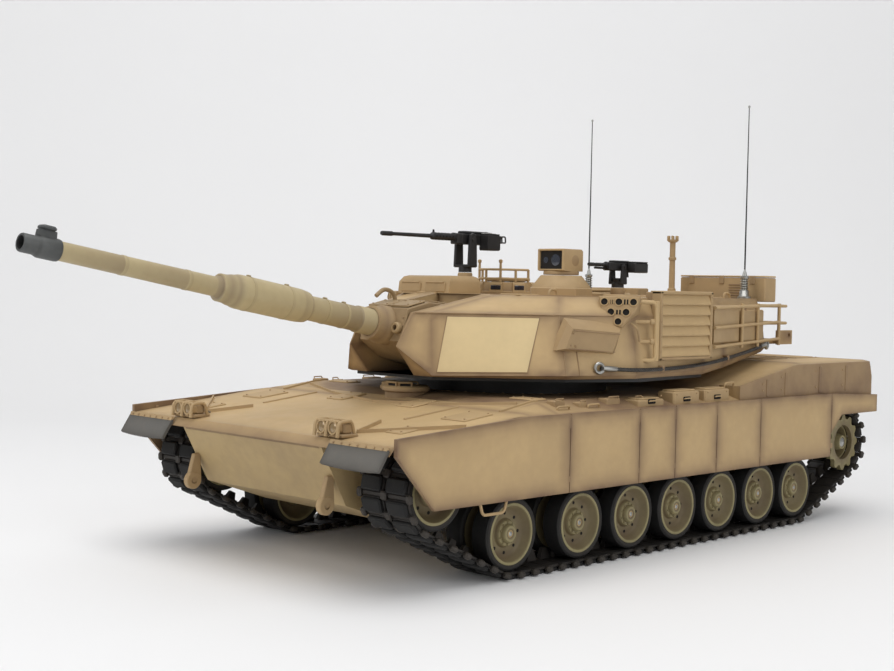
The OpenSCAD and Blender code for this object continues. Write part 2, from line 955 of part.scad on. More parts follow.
lower_hull();
upper_hull();
side_skirts();
mudguards();
lamps_and_hooks();
track(1);  // track_left
track(-1);  // track_right
drive_units();
battery();
electronics();
power_switch();
driver_hatch();
for (i = [0:6]) {
    arm(i, 1);
    arm(i, -1);
    wheel_pair(wheel_x(i), wheel_z, 1);
    wheel_pair(wheel_x(i), wheel_z, -1);
}
sprocket(1);  // sprocket_left
sprocket(-1);  // sprocket_right
idler(1);  // idler_left
idler(-1);  // idler_right
turret_shell();
turret_base();
turret_racks();
turret_fittings();
antennas();
tow_cables();
turret_drives();
gun_mantlet();
gun_barrel();
commander_hatch();
loader_hatch();
heavy_mg_mount();
heavy_mg();
light_mg_mount();
light_mg();
sight_head();
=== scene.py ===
"""Looks of a one-sixteenth scale radio-controlled battle tank, built round its packed frame.

Laid out as an add-on: sizes and colours sit in property groups, each piece or family of like
pieces has an operator, and main() runs them in order. Shapes are computed in millimetres, in the
frame's own axes (+X forward, +Y left, +Z up), and turned into metres when a mesh is made.
"""

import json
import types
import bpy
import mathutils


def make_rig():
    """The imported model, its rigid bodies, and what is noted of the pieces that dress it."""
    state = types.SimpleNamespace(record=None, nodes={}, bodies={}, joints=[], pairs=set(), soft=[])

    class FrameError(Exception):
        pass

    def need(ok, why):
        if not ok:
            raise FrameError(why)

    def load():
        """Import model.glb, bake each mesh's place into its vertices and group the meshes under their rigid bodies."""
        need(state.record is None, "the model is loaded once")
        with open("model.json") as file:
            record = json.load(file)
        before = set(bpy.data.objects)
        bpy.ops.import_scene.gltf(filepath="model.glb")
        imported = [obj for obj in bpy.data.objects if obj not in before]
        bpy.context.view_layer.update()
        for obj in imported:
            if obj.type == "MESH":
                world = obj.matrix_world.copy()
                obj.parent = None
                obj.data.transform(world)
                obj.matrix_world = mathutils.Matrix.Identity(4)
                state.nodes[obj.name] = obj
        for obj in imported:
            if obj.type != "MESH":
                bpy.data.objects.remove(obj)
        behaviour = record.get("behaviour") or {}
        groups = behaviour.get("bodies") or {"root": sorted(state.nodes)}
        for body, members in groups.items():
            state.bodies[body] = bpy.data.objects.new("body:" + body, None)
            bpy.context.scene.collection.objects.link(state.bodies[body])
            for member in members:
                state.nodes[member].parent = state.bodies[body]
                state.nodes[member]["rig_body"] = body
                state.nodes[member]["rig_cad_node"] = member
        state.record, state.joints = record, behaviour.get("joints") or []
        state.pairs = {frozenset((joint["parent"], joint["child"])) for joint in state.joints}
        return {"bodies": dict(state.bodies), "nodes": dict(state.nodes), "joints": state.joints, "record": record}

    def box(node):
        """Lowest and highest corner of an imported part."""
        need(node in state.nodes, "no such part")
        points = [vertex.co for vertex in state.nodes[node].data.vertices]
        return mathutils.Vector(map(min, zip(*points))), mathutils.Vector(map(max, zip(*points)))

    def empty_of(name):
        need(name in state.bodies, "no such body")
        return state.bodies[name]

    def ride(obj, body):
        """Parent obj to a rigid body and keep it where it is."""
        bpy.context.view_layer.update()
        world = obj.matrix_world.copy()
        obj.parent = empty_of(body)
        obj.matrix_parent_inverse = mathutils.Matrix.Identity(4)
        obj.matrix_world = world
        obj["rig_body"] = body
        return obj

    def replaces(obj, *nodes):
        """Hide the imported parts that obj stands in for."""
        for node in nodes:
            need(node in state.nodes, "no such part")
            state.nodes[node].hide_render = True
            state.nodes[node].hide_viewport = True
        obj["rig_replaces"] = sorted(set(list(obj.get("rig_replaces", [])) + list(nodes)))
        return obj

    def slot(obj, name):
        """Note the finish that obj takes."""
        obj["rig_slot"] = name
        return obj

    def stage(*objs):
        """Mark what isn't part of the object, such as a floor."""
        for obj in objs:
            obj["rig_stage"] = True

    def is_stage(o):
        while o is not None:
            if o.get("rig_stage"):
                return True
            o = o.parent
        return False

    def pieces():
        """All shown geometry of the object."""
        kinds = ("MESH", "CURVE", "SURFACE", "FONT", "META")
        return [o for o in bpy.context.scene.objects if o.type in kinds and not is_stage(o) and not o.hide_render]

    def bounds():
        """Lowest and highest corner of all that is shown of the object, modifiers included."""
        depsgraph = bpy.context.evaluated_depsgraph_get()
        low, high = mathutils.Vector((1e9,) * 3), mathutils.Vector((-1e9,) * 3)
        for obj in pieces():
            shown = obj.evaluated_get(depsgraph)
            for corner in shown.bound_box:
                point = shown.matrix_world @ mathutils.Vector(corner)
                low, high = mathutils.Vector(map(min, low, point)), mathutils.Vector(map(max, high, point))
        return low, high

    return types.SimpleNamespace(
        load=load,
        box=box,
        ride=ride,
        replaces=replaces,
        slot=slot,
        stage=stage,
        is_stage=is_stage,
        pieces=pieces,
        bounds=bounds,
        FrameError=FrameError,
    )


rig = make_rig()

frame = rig.load()

import json
import math

import bmesh
import bpy
import numpy as np
from bpy.props import FloatProperty, FloatVectorProperty, PointerProperty
from mathutils import Matrix, Vector

bl_info = {
    "name": "Tank Model Looks",
    "version": (1, 0, 0),
    "blender": (4, 5, 0),
    "location": "3D View > Sidebar > Tank",
    "description": "Builds the visible pieces of a radio-controlled tank on its packed frame",
    "category": "Add Mesh",
}

MM = 0.001
JOINTS = {j["name"]: j for j in frame["joints"]}


def pivot(joint):
    """Place of a joint's axis, in millimetres."""
    return np.array(JOINTS[joint]["pos_m"]) / MM


def extent(node):
    """Lowest and highest corner of a CAD node, in millimetres."""
    low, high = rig.box(node)
    return np.array(low) / MM, np.array(high) / MM


# ---- Places and sizes that come from the frame, in millimetres ----

WHEELS = {s: [pivot(f"wheel_{s}{i}_spin") for i in range(1, 8)] for s in "lr"}
IDLER = pivot("idler_left_spin")
SPROCKET = pivot("drive_left")
TURRET_X = pivot("turret_yaw")[0]
TRUNNION = pivot("gun_elevation")
DECK_HIGH = extent("upper_hull")[1]
SKIRT_HIGH = extent("side_skirts")[1]
TRACK_LOW, TRACK_HIGH = extent("track_left")
WHIP_TOP = extent("antennas")[1][2]
GUN_AXIS = -np.array(JOINTS["gun_recoil"]["axis"])
NOSE_X = DECK_HIGH[0] + 2.0
WHEEL_R = WHEELS["l"][0][2] - (TRACK_LOW[2] + 4.3)
TRACK_Y = (TRACK_LOW[1] + TRACK_HIGH[1]) / 2
DECK_Z = 92.0
ENGINE_Z = 108.5
SIDE_Y = DECK_HIGH[1]


def behind_nose(station):
    """X of a place on the hull from its distance behind the nose."""
    return NOSE_X - station


# ---- Surfaces ----

class Form:
    """Surfaces gathered for one mesh. Points are in millimetres; each surface has a material
    number and an airbrush value per point, 0 on open paint and 1 in a shaded corner."""

    def __init__(self):
        self.points, self.faces, self.materials, self.shade, self.count = [], [], [], [], 0

    def add(self, points, faces, material=0, shade=0.0):
        points = np.asarray(points, float).reshape(-1, 3)
        self.points.append(points)
        self.shade.append(np.broadcast_to(np.asarray(shade, float).reshape(-1), (len(points),))
                          if np.size(shade) in (1, len(points)) else np.zeros(len(points)))
        start = self.count
        for face in faces:
            self.faces.append([int(k) + start for k in face])
        self.materials += [material] * len(faces)
        self.count += len(points)
        return self

    def join(self, other, move=None, material=None):
        """Adds another form, through a function on its points."""
        for_points = np.concatenate(other.points)
        if move is not None:
            for_points = move(for_points)
        start = self.count
        self.points.append(for_points)
        self.shade.append(np.concatenate(other.shade))
        self.faces += [[k + start for k in face] for face in other.faces]
        self.materials += other.materials if material is None else [material] * len(other.faces)
        self.count += len(for_points)
        return self

    def mirrored(self):
        """The same form on the other side of the hull's middle plane."""
        twin = Form()
        twin.join(self, lambda p: p * [1, -1, 1])
        twin.faces = [face[::-1] for face in twin.faces]
        return twin


def grid_faces(rows, columns, wrap=False):
    """Quads between the points of a grid, row by row; wrap joins the last column to the first."""
    i = np.arange(rows - 1)[:, None] * columns
    j = np.arange(columns if wrap else columns - 1)[None, :]
    k = (j + 1) % columns
    return np.stack([i + j, i + k, i + columns + k, i + columns + j], -1).reshape(-1, 4)


def add_rings(form, rings, material=0, shade=0.0, capped=True):
    """A solid skinned over closed rings of points, with flat ends."""
    rings = np.asarray(rings, float)
    rows, columns = rings.shape[:2]
    faces = [list(f) for f in grid_faces(rows, columns, True)]
    if capped:
        faces.append(list(range(columns))[::-1])
        faces.append([(rows - 1) * columns + k for k in range(columns)])
    return form.add(rings, faces, material, shade)


def inset(outline, distance):
    """A closed outline drawn inwards: each corner moves along its mitre by the given distance."""
    outline = np.asarray(outline, float)
    ahead = np.roll(outline, -1, 0) - outline
    ahead /= np.linalg.norm(ahead, axis=1)[:, None] + 1e-12
    normal = np.stack([-ahead[:, 1], ahead[:, 0]], 1)
    before = np.roll(normal, 1, 0)
    mitre = (normal + before) / (1 + (normal * before).sum(1))[:, None].clip(0.3)
    area = np.sum(outline[:, 0] * np.roll(outline[:, 1], -1) - np.roll(outline[:, 0], -1) * outline[:, 1])
    return outline + mitre * distance * (1 if area > 0 else -1)


def add_prism(form, outline, low, high, axis="z", edge=0.4, material=0, shade=0.0, place=None):
    """An outline carried straight along an axis, its two ends drawn in by a small edge.
    With axis x the outline is (y, z), with y it is (x, z), and with z it is (x, y)."""
    edge = min(edge, abs(high - low) / 2.5)
    ends = [(low, edge), (low + edge, 0), (high - edge, 0), (high, edge)]
    rings = []
    for at, draw in ends:
        flat = inset(outline, draw) if draw else np.asarray(outline, float)
        level = np.full(len(flat), at)
        rings.append({"x": np.stack([level, flat[:, 0], flat[:, 1]], 1),
                      "y": np.stack([flat[:, 0], level, flat[:, 1]], 1),
                      "z": np.stack([flat[:, 0], flat[:, 1], level], 1)}[axis])
    rings = np.array(rings)
    return add_rings(form, rings if place is None else place(rings), material, shade)


def rectangle(u0, v0, u1, v1, cut=0.4):
    """A rectangle with its corners cut off, as an outline."""
    cut = min(cut, (u1 - u0) / 2.5, (v1 - v0) / 2.5)
    return np.array([[u0 + cut, v0], [u1 - cut, v0], [u1, v0 + cut], [u1, v1 - cut],
                     [u1 - cut, v1], [u0 + cut, v1], [u0, v1 - cut], [u0, v0 + cut]])


def add_block(form, low, high, edge=0.4, material=0, shade=0.0, place=None):
    """A box with all its edges broken."""
    return add_prism(form, rectangle(low[0], low[1], high[0], high[1], edge), low[2], high[2],
                     "z", edge, material, shade, place)


def circle(radius, sides, centre=(0, 0), start=0.0):
    """A regular polygon, as an outline."""
    a = start + np.linspace(0, 2 * math.pi, sides, endpoint=False)
    return np.stack([centre[0] + radius * np.cos(a), centre[1] + radius * np.sin(a)], 1)


def basis(direction, up=(0, 0, 1)):
    """Rows are a direction and two directions across it."""
    w = np.asarray(direction, float)
    w = w / np.linalg.norm(w)
    up = np.asarray(up, float)
    if abs(w @ up) > 0.95:
        up = np.array([1.0, 0, 0])
    u = np.cross(up, w)
    u /= np.linalg.norm(u)
    return np.stack([w, u, np.cross(w, u)])


def add_lathe(form, profile, origin, direction, sides=48, material=0, shade=0.0, closed=False):
    """A profile of (distance along the axis, radius) turned about an axis."""
    profile = np.asarray(profile, float)
    w, u, v = basis(direction)
    a = np.linspace(0, 2 * math.pi, sides, endpoint=False)
    ring = np.cos(a)[:, None] * u + np.sin(a)[:, None] * v
    points = (np.asarray(origin, float) + profile[:, 0, None, None] * w
              + profile[:, 1, None, None] * ring[None])
    if closed:
        points = np.concatenate([points, points[:1]])
        rows = len(profile)
        faces = [list(f % (rows * sides)) for f in grid_faces(rows + 1, sides, True)]
        return form.add(points[:rows], faces, material,
                        shade if np.size(shade) == 1 else np.repeat(shade, sides))
    if np.size(shade) > 1:
        shade = np.repeat(shade, sides)
    return add_rings(form, points, material, shade)


def add_tube(form, path, radius, sides=10, material=0, shade=0.0, loop=False):
    """A round section carried along a path; each ring stands square to the path there."""
    path = np.asarray(path, float)
    tangent = np.roll(path, -1, 0) - np.roll(path, 1, 0) if loop else np.gradient(path, axis=0)
    tangent /= np.linalg.norm(tangent, axis=1)[:, None]
    side = basis(tangent[0])[1]
    a = np.linspace(0, 2 * math.pi, sides, endpoint=False)
    radius = np.broadcast_to(radius, (len(path),))
    rings = []
    for k, t in enumerate(tangent):
        side = side - (side @ t) * t
        side /= np.linalg.norm(side)
        rings.append(path[k] + radius[k] * (np.cos(a)[:, None] * side + np.sin(a)[:, None] * np.cross(t, side)))
    if loop:
        rings = np.array(rings)
        faces = [list(f % (len(rings) * sides)) for f in
                 grid_faces(len(rings) + 1, sides, True)]
        return form.add(rings, faces, material, shade)
    return add_rings(form, rings, material, shade)


def rounded_path(corners, radius, steps=5):
    """A polyline whose corners are rounded off with quadratic curves."""
    corners = np.asarray(corners, float)
    points = [corners[0]]
    t = np.linspace(0, 1, steps)[:, None]
    for before, at, after in zip(corners[:-2], corners[1:-1], corners[2:]):
        a = at + (before - at) / np.linalg.norm(before - at) * radius
        b = at + (after - at) / np.linalg.norm(after - at) * radius
        points += list((1 - t) ** 2 * a + 2 * t * (1 - t) * at + t ** 2 * b)
    points.append(corners[-1])
    return np.array(points)


def add_patch(form, a, b, c, d, columns=12, rows=8, material=0, reach=5.0, edges="abcd"):
    """A bilinear surface with corners a, b, c, d in order; airbrush shading fades in from each
    named edge (a: a-b, b: b-c, c: c-d, d: d-a) over the reach."""
    a, b, c, d = (np.asarray(p, float) for p in (a, b, c, d))
    u = np.linspace(0, 1, columns + 1)[None, :, None]
    v = np.linspace(0, 1, rows + 1)[:, None, None]
    points = (1 - v) * ((1 - u) * a + u * b) + v * ((1 - u) * d + u * c)
    width = (np.linalg.norm(b - a) + np.linalg.norm(c - d)) / 2
    height = (np.linalg.norm(d - a) + np.linalg.norm(c - b)) / 2
    u, v = u[..., 0], v[..., 0]
    far = np.full((rows + 1, columns + 1), 1e3)
    distance = {"a": v * height + 0 * u, "b": (1 - u) * width + 0 * v,
                "c": (1 - v) * height + 0 * u, "d": u * width + 0 * v}
    for edge in edges:
        far = np.minimum(far, distance[edge])
    return form.add(points, grid_faces(rows + 1, columns + 1), material, np.exp(-far / reach))


def add_panel(form, top, bottom, thickness, rows=10, material=0, reach=4.0, dark=1.0):
    """A plate between a top and a bottom line of points. Its front is a ruled surface; the border
    turns back by the thickness vector. Shading is e to the minus distance from the border over reach."""
    top, bottom = np.asarray(top, float), np.asarray(bottom, float)
    thickness = np.asarray(thickness, float)
    v = np.linspace(0, 1, rows + 1)[:, None, None]
    front = (1 - v) * top[None] + v * bottom[None]
    columns = front.shape[1]
    along = np.concatenate([[0], np.cumsum(np.linalg.norm(np.diff(top, axis=0), axis=1))])
    height = np.linalg.norm(bottom - top, axis=1)[None]
    from_edge = np.minimum(np.minimum(along, along[-1] - along)[None],
                           np.minimum(v[..., 0], 1 - v[..., 0]) * height)
    shade = dark * np.exp(-from_edge / reach)
    padded = np.pad(front, ((1, 1), (1, 1), (0, 0)), mode="edge")
    border = np.zeros(padded.shape[:2], bool)
    border[[0, -1]] = border[:, [0, -1]] = True
    padded[border] += thickness
    faces = [list(f) for f in grid_faces(rows + 3, columns + 2)]
    loop = (list(range(columns + 2)) + [r * (columns + 2) + columns + 1 for r in range(1, rows + 3)]
            + [(rows + 2) * (columns + 2) + k for k in range(columns, -1, -1)]
            + [r * (columns + 2) for r in range(rows + 1, 0, -1)])
    faces.append(loop[::-1])
    return form.add(padded, faces, material, np.pad(shade, 1, mode="edge"))


def bolts(form, places, direction, radius=0.7, height=0.5, material=0, shade=0.4):
    """Six-sided bolt heads standing on a face."""
    for place in places:
        add_lathe(form, [[-0.2, radius], [height * 0.7, radius], [height, radius * 0.7]],
                  place, direction, 6, material, shade)


def make_piece(name, form, materials, body, replaces=(), slot=None, sharp=32, merge=0.0, bevel=0.0):
    """Turns a form into an object in metres that rides on a body of the frame."""
    mesh = bpy.data.meshes.new(name)
    points = np.concatenate(form.points) * MM
    mesh.from_pydata(points.tolist(), [], form.faces)
    mesh.attributes.new("shade", "FLOAT", "POINT").data.foreach_set(
        "value", np.concatenate(form.shade).astype(np.float32))
    for material in materials:
        mesh.materials.append(material)
    mesh.polygons.foreach_set("material_index", form.materials)
    b = bmesh.new()
    b.from_mesh(mesh)
    if merge:
        bmesh.ops.remove_doubles(b, verts=b.verts, dist=merge * MM)
        bmesh.ops.holes_fill(b, edges=[e for e in b.edges if e.is_boundary], sides=0)
    bmesh.ops.recalc_face_normals(b, faces=b.faces)
    b.to_mesh(mesh)
    b.free()
    mesh.polygons.foreach_set("use_smooth", np.ones(len(mesh.polygons), bool))
    mesh.set_sharp_from_angle(angle=math.radians(sharp))
    mesh.validate()
    piece = bpy.data.objects.new(name, mesh)
    bpy.context.scene.collection.objects.link(piece)
    if bevel:
        rounding = piece.modifiers.new("Edges", "BEVEL")
        rounding.width, rounding.segments, rounding.limit_method = bevel * MM, 2, "ANGLE"
    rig.ride(piece, body)
    if replaces:
        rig.replaces(piece, *replaces)
    if slot:
        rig.slot(piece, slot)
    return piece


# ---- Finishes ----

def linear(red, green, blue):
    """A display colour from 0 to 255 as the linear colour that shaders take."""
    c = np.array([red, green, blue]) / 255
    c = np.where(c <= 0.04045, c / 12.92, ((c + 0.055) / 1.055) ** 2.4)
    return (*[float(v) for v in c], 1.0)


def new_group(name, inputs, outputs):
    """An empty shader node group with named sockets, and its two end nodes."""
    group = bpy.data.node_groups.new(name, "ShaderNodeTree")
    for label, kind in inputs:
        group.interface.new_socket(name=label, in_out="INPUT", socket_type=kind)
    for label, kind in outputs:
        group.interface.new_socket(name=label, in_out="OUTPUT", socket_type=kind)
    return group, group.nodes.new("NodeGroupInput"), group.nodes.new("NodeGroupOutput")


FLOAT, COLOUR = "NodeSocketFloat", "NodeSocketColor"


def maths(group, kind, a, b=None, clamp=False):
    """One arithmetic node: kind of a and b, kept between 0 and 1 if clamp."""
    node = group.nodes.new("ShaderNodeMath")
    node.operation, node.use_clamp = kind, clamp
    for socket, value in zip(node.inputs, (a, b)):
        if value is None:
            continue
        if isinstance(value, (int, float)):
            socket.default_value = value
        else:
            group.links.new(value, socket)
    return node.outputs[0]


def noise(group, coordinates, scale, detail=3.0):
    """Smooth noise over the coordinates, from 0 to 1."""
    node = group.nodes.new("ShaderNodeTexNoise")
    node.inputs["Detail"].default_value = detail
    group.links.new(coordinates, node.inputs["Vector"])
    if isinstance(scale, (int, float)):
        node.inputs["Scale"].default_value = scale
    else:
        group.links.new(scale, node.inputs["Scale"])
    return node.outputs["Fac"]


def blend_colours(group, factor, a, b):
    """Colour a times (1 - factor) plus colour b times factor."""
    node = group.nodes.new("ShaderNodeMix")
    node.data_type = "RGBA"
    group.links.new(factor, node.inputs["Factor"])
    for socket, value in ((node.inputs[6], a), (node.inputs[7], b)):
        group.links.new(value, socket)
    return node.outputs[2]


def tone_group():
    """Two tones of one colour in soft patches, with fine specks of the second."""
    group, start, end = new_group("Patchy tone", [
        ("First", COLOUR), ("Second", COLOUR), ("Scale", FLOAT), ("Amount", FLOAT)], [("Colour", COLOUR)])
    where = group.nodes.new("ShaderNodeTexCoord").outputs["Object"]
    broad = noise(group, where, start.outputs["Scale"], 4.0)
    fine = noise(group, where, maths(group, "MULTIPLY", start.outputs["Scale"], 9.0), 2.0)
    patches = maths(group, "MULTIPLY", maths(group, "SUBTRACT", broad, 0.38), 2.6, True)
    specks = maths(group, "MULTIPLY", maths(group, "SUBTRACT", fine, 0.5), 1.2)
    both = maths(group, "ADD", patches, specks)
    factor = maths(group, "MULTIPLY", both, start.outputs["Amount"], True)
    group.links.new(blend_colours(group, factor, start.outputs["First"], start.outputs["Second"]),
                    end.inputs["Colour"])
    return group


def shade_and_airbrush_group():
    """Thin paint of a second colour, sprayed softly and a little unevenly where the mask says."""
    group, start, end = new_group("Airbrush shading", [
        ("Colour", COLOUR), ("Spray", COLOUR), ("Mask", FLOAT), ("Strength", FLOAT)], [("Colour", COLOUR)])
    where = group.nodes.new("ShaderNodeTexCoord").outputs["Object"]
    uneven = maths(group, "ADD", noise(group, where, 55.0, 3.0), 0.45)
    mask = maths(group, "MULTIPLY", start.outputs["Mask"], uneven)
    factor = maths(group, "MULTIPLY", mask, start.outputs["Strength"], True)
    group.links.new(blend_colours(group, factor, start.outputs["Colour"], start.outputs["Spray"]),
                    end.inputs["Colour"])
    return group


def grain_group():
    """Fine surface grain as a height, and a roughness that varies with it."""
    group, start, end = new_group("Surface grain", [
        ("Scale", FLOAT), ("Roughness", FLOAT), ("Spread", FLOAT)], [("Height", FLOAT), ("Roughness", FLOAT)])
    where = group.nodes.new("ShaderNodeTexCoord").outputs["Object"]
    grain = noise(group, where, start.outputs["Scale"], 2.0)
    cloud = noise(group, where, 70.0, 2.0)
    varied = maths(group, "MULTIPLY", maths(group, "SUBTRACT", cloud, 0.5), start.outputs["Spread"])
    group.links.new(grain, end.inputs["Height"])
    group.links.new(maths(group, "ADD", start.outputs["Roughness"], varied, True), end.inputs["Roughness"])
    return group


def finish(name, first, second, spray, roughness=0.6, spread=0.2, scale=25.0, amount=0.5, strength=0.8,
           grain=1800.0, bump=0.12, metallic=0.0, coat=0.0):
    """A material: patchy tone, airbrushed recesses and grain in front of one Principled shader."""
    material = bpy.data.materials.new(name)
    material.use_nodes = True
    tree = material.node_tree
    shader = tree.nodes["Principled BSDF"]
    shader.inputs["Metallic"].default_value = metallic
    shader.inputs["Coat Weight"].default_value = coat
    def place(group, **values):
        node = tree.nodes.new("ShaderNodeGroup")
        node.node_tree = bpy.data.node_groups[group]
        for label, value in values.items():
            node.inputs[label].default_value = value
        return node
    tone = place("Patchy tone", First=linear(*first), Second=linear(*second), Scale=scale, Amount=amount)
    shade_spray_node = place("Airbrush shading", Spray=linear(*spray), Strength=strength)
    # The mesh's shade attribute is the mask: painted shade in corners and recesses, with airbrushed shading along seams
    mask = tree.nodes.new("ShaderNodeAttribute")
    mask.attribute_name = "shade"
    surface = place("Surface grain", Scale=grain, Roughness=roughness, Spread=spread)
    relief = tree.nodes.new("ShaderNodeBump")
    relief.inputs["Strength"].default_value = bump
    relief.inputs["Distance"].default_value = 0.0002
    tree.links.new(tone.outputs["Colour"], shade_spray_node.inputs["Colour"])
    tree.links.new(mask.outputs["Fac"], shade_spray_node.inputs["Mask"])
    tree.links.new(shade_spray_node.outputs["Colour"], shader.inputs["Base Color"])
    tree.links.new(surface.outputs["Roughness"], shader.inputs["Roughness"])
    tree.links.new(surface.outputs["Height"], relief.inputs["Height"])
    tree.links.new(relief.outputs["Normal"], shader.inputs["Normal"])
    return material


def make_finishes(colours):
    """Every finish of the model, by its maker's name."""
    tone_group(), shade_and_airbrush_group(), grain_group()
    paint = tuple(255 * np.array(colours.paint)[:3])
    panel = tuple(255 * np.array(colours.panel)[:3])
    spray = tuple(255 * np.array(colours.spray)[:3])
    wheel = tuple(255 * np.array(colours.wheel)[:3])
    lighter = tuple(np.clip(np.array(paint) * 1.09, 0, 255))
    duller = tuple(np.array(paint) * 0.86)
    return {
        # Each finish's third colour is its shade colour, laid in by the shade mask: painted shade in corners and
        # recesses, and airbrushed shading along seams. On the dark finishes, such as tyres, tracks, pads, black
        # mouldings and blackened guns, it is lighter, so the same places turn lighter.
        "paint": finish("sand paint", paint, lighter, spray, 0.62, 0.25, 22, 0.6, 0.85),
        "panel": finish("panel paint", panel, tuple(np.array(panel) * 0.94), spray, 0.62, 0.2, 30, 0.5, 0.35),
        "mantlet": finish("mantlet paint", duller, paint, spray, 0.6, 0.2, 30, 0.6, 0.8),
        "barrel": finish("barrel paint", (184, 168, 128), (168, 150, 114), (120, 102, 80), 0.5, 0.2, 24, 0.7, 0.8),
        "tub": finish("tub paint", (176, 152, 108), (156, 134, 98), spray, 0.7, 0.25, 20, 0.8, 0.9),
        "wheel": finish("wheel paint", wheel, tuple(np.array(wheel) * 0.82), (96, 78, 58), 0.6, 0.2, 60, 0.6, 0.9),
        "flap": finish("rubber flap", (98, 96, 92), (112, 106, 96), (70, 66, 60), 0.75, 0.2, 30, 0.5, 0.7),
        "tyre": finish("tyre rubber", (26, 26, 26), (44, 41, 37), (70, 62, 52), 0.8, 0.2, 60, 0.4, 0.4, 1400, 0.3),
        "track": finish("track links", (34, 33, 33), (62, 56, 50), (92, 84, 74), 0.55, 0.3, 70, 0.5, 0.35,
                        900, 0.35, 0.35),
        "pad": finish("track pads", (22, 22, 22), (40, 37, 34), (60, 56, 50), 0.85, 0.2, 90, 0.4, 0.4, 1200, 0.4),
        "gunmetal": finish("blackened guns", (36, 36, 38), (58, 56, 55), (84, 80, 76), 0.42, 0.2, 120, 0.4, 0.5,
                           2400, 0.15, 0.45),
        "muzzle": finish("muzzle collar", (84, 86, 86), (104, 104, 100), (50, 50, 50), 0.5, 0.2, 60, 0.5, 0.6,
                         2000, 0.15, 0.5),
        "steel": finish("bright steel", (176, 176, 172), (140, 138, 132), (90, 84, 74), 0.3, 0.2, 150, 0.5, 0.4,
                        2600, 0.1, 1.0),
        "cable": finish("cable steel", (78, 76, 74), (112, 108, 102), (44, 40, 36), 0.45, 0.2, 260, 0.6, 0.6,
                        3000, 0.3, 0.8),
        "black": finish("black moulding", (24, 24, 25), (36, 35, 34), (60, 56, 50), 0.5, 0.2, 50, 0.5, 0.3),
        # Painted shadow: a near-black brown put as discs and blocks in holes, pockets, mouths and recesses, where shade
        # would fall
        "void": finish("shadowed inside", (22, 19, 16), (34, 29, 24), (14, 12, 10), 0.9, 0.1, 60, 0.5, 0.3),
        "glass": finish("coated optics", (30, 38, 52), (44, 34, 50), (18, 20, 26), 0.08, 0.05, 40, 0.5, 0.2,
                        600, 0.02, 0.0, 1.0),
        "lamp": finish("lamp lenses", (150, 124, 84), (122, 100, 68), (84, 66, 44), 0.12, 0.05, 300, 0.5, 0.3,
                       900, 0.3, 0.3, 0.8),
        "tool": finish("tool grey", (110, 104, 94), (132, 122, 106), (70, 60, 48), 0.55, 0.2, 80, 0.5, 0.6),
        "wrap": finish("cell wrap", (38, 74, 140), (30, 60, 118), (20, 30, 60), 0.3, 0.1, 60, 0.4, 0.3,
                       900, 0.05, 0.0, 0.5),
        "board": finish("circuit board", (24, 92, 56), (20, 74, 46), (150, 130, 60), 0.4, 0.15, 400, 0.6, 0.3),
    }


SLOTS = {"paint": "tan_plastic", "panel": "tan_plastic", "mantlet": "tan_plastic", "barrel": "barrel_metal",
         "tub": "hull_metal", "wheel": "wheel_metal", "flap": "dark_rubber", "tyre": "dark_rubber",
         "track": "track_links", "pad": "dark_rubber", "gunmetal": "black_plastic", "muzzle": "barrel_metal",
         "steel": "steel", "cable": "cable_steel", "black": "black_plastic", "void": "black_plastic",
         "glass": "black_plastic", "lamp": "black_plastic", "tool": "tan_plastic"}


def piece(name, form, finishes, body, replaces=(), **options):
    """An object made from a form, with finishes named in order; the first gives its slot."""
    return make_piece(name, form, [bpy.data.materials[MATERIALS[f]] for f in finishes], body, replaces,
                      SLOTS[finishes[0]], **options)


MATERIALS = {}


# ---- Hull ----

def roof_height(s, y):
    """Height of the hull's roof at a station behind the nose and a distance from the middle."""
    top = np.interp(s, [2, 6, 102, 125, 280, 372, 464, 467.5], [73, 77, 88, DECK_Z, DECK_Z, ENGINE_Z, ENGINE_Z, 97])
    y = abs(y)
    shoulder = np.where(s < 300, DECK_Z - 5.5 * (y - 96) / 16.7, ENGINE_Z - 1 + (SIDE_Y - y) * 0.2)
    return np.where(y > 96, np.minimum(top, np.maximum(shoulder, 70)), top)


def hull_form():
    """Closed sections across the hull, one at each station: the roof from side to side, then the
    sponson floors and the flat strip over the tub."""
    stations = np.unique(np.concatenate([[2, 3, 4, 6, 8, 11, 15, 96, 99, 102, 105, 110, 118, 122, 125, 128, 270,
                         276, 280, 284, 290, 299.9, 300.1, 360, 368, 372, 376, 458, 461, 464, 465.5, 467.5],
                        np.arange(12, 460, 9.0)]))
    y = np.unique(np.concatenate([np.linspace(0, 92, 15), [94, 96, 98.5, 102, 106, 109, 110.8, SIDE_Y]]))
    y = np.concatenate([-y[:0:-1], y])
    s, yy = np.meshgrid(stations, y, indexing="ij")
    top = roof_height(s, yy)
    floor_y = np.array([SIDE_Y, 60.3, 60, -60, -60.3, -SIDE_Y])
    floor_z = np.array([76.1, 76.1, 73.05, 73.05, 76.1, 76.1])
    sections = np.concatenate([np.stack([behind_nose(s), yy, top], -1), np.stack([
        np.repeat(behind_nose(stations)[:, None], 6, 1), np.repeat(floor_y[None], len(stations), 0),
        np.minimum(floor_z[None], top[:, :1] - 0.4)], -1)], 1)
    # Painted shade: darker along the roof's creases, at the shoulders and at the side edges (partly airbrushed shading
    # along these seams), and a painted shadow round the turret ring under the turret's overhang; the sponson floors
    # below are shaded all over
    near = np.minimum.reduce([abs(s - k) for k in (2, 102, 125, 280, 372, 464)])
    shade = np.maximum(np.exp(-near / 5.0), np.exp(-abs(abs(yy) - 96) / 3.0) * (s < 300) * (s > 112))
    shade = np.maximum(shade, np.exp(-(SIDE_Y - abs(yy)) / 3.0))
    turret_shadow = np.exp(-np.maximum(0, np.hypot(s - 207, yy) - 112) / 16.0)
    shade = np.maximum(shade * 0.75, turret_shadow * (s > 110) * (s < 330))
    form = Form()
    add_rings(form, sections, 0, np.concatenate([shade, np.ones((len(stations), 6))], 1).ravel())
    return form


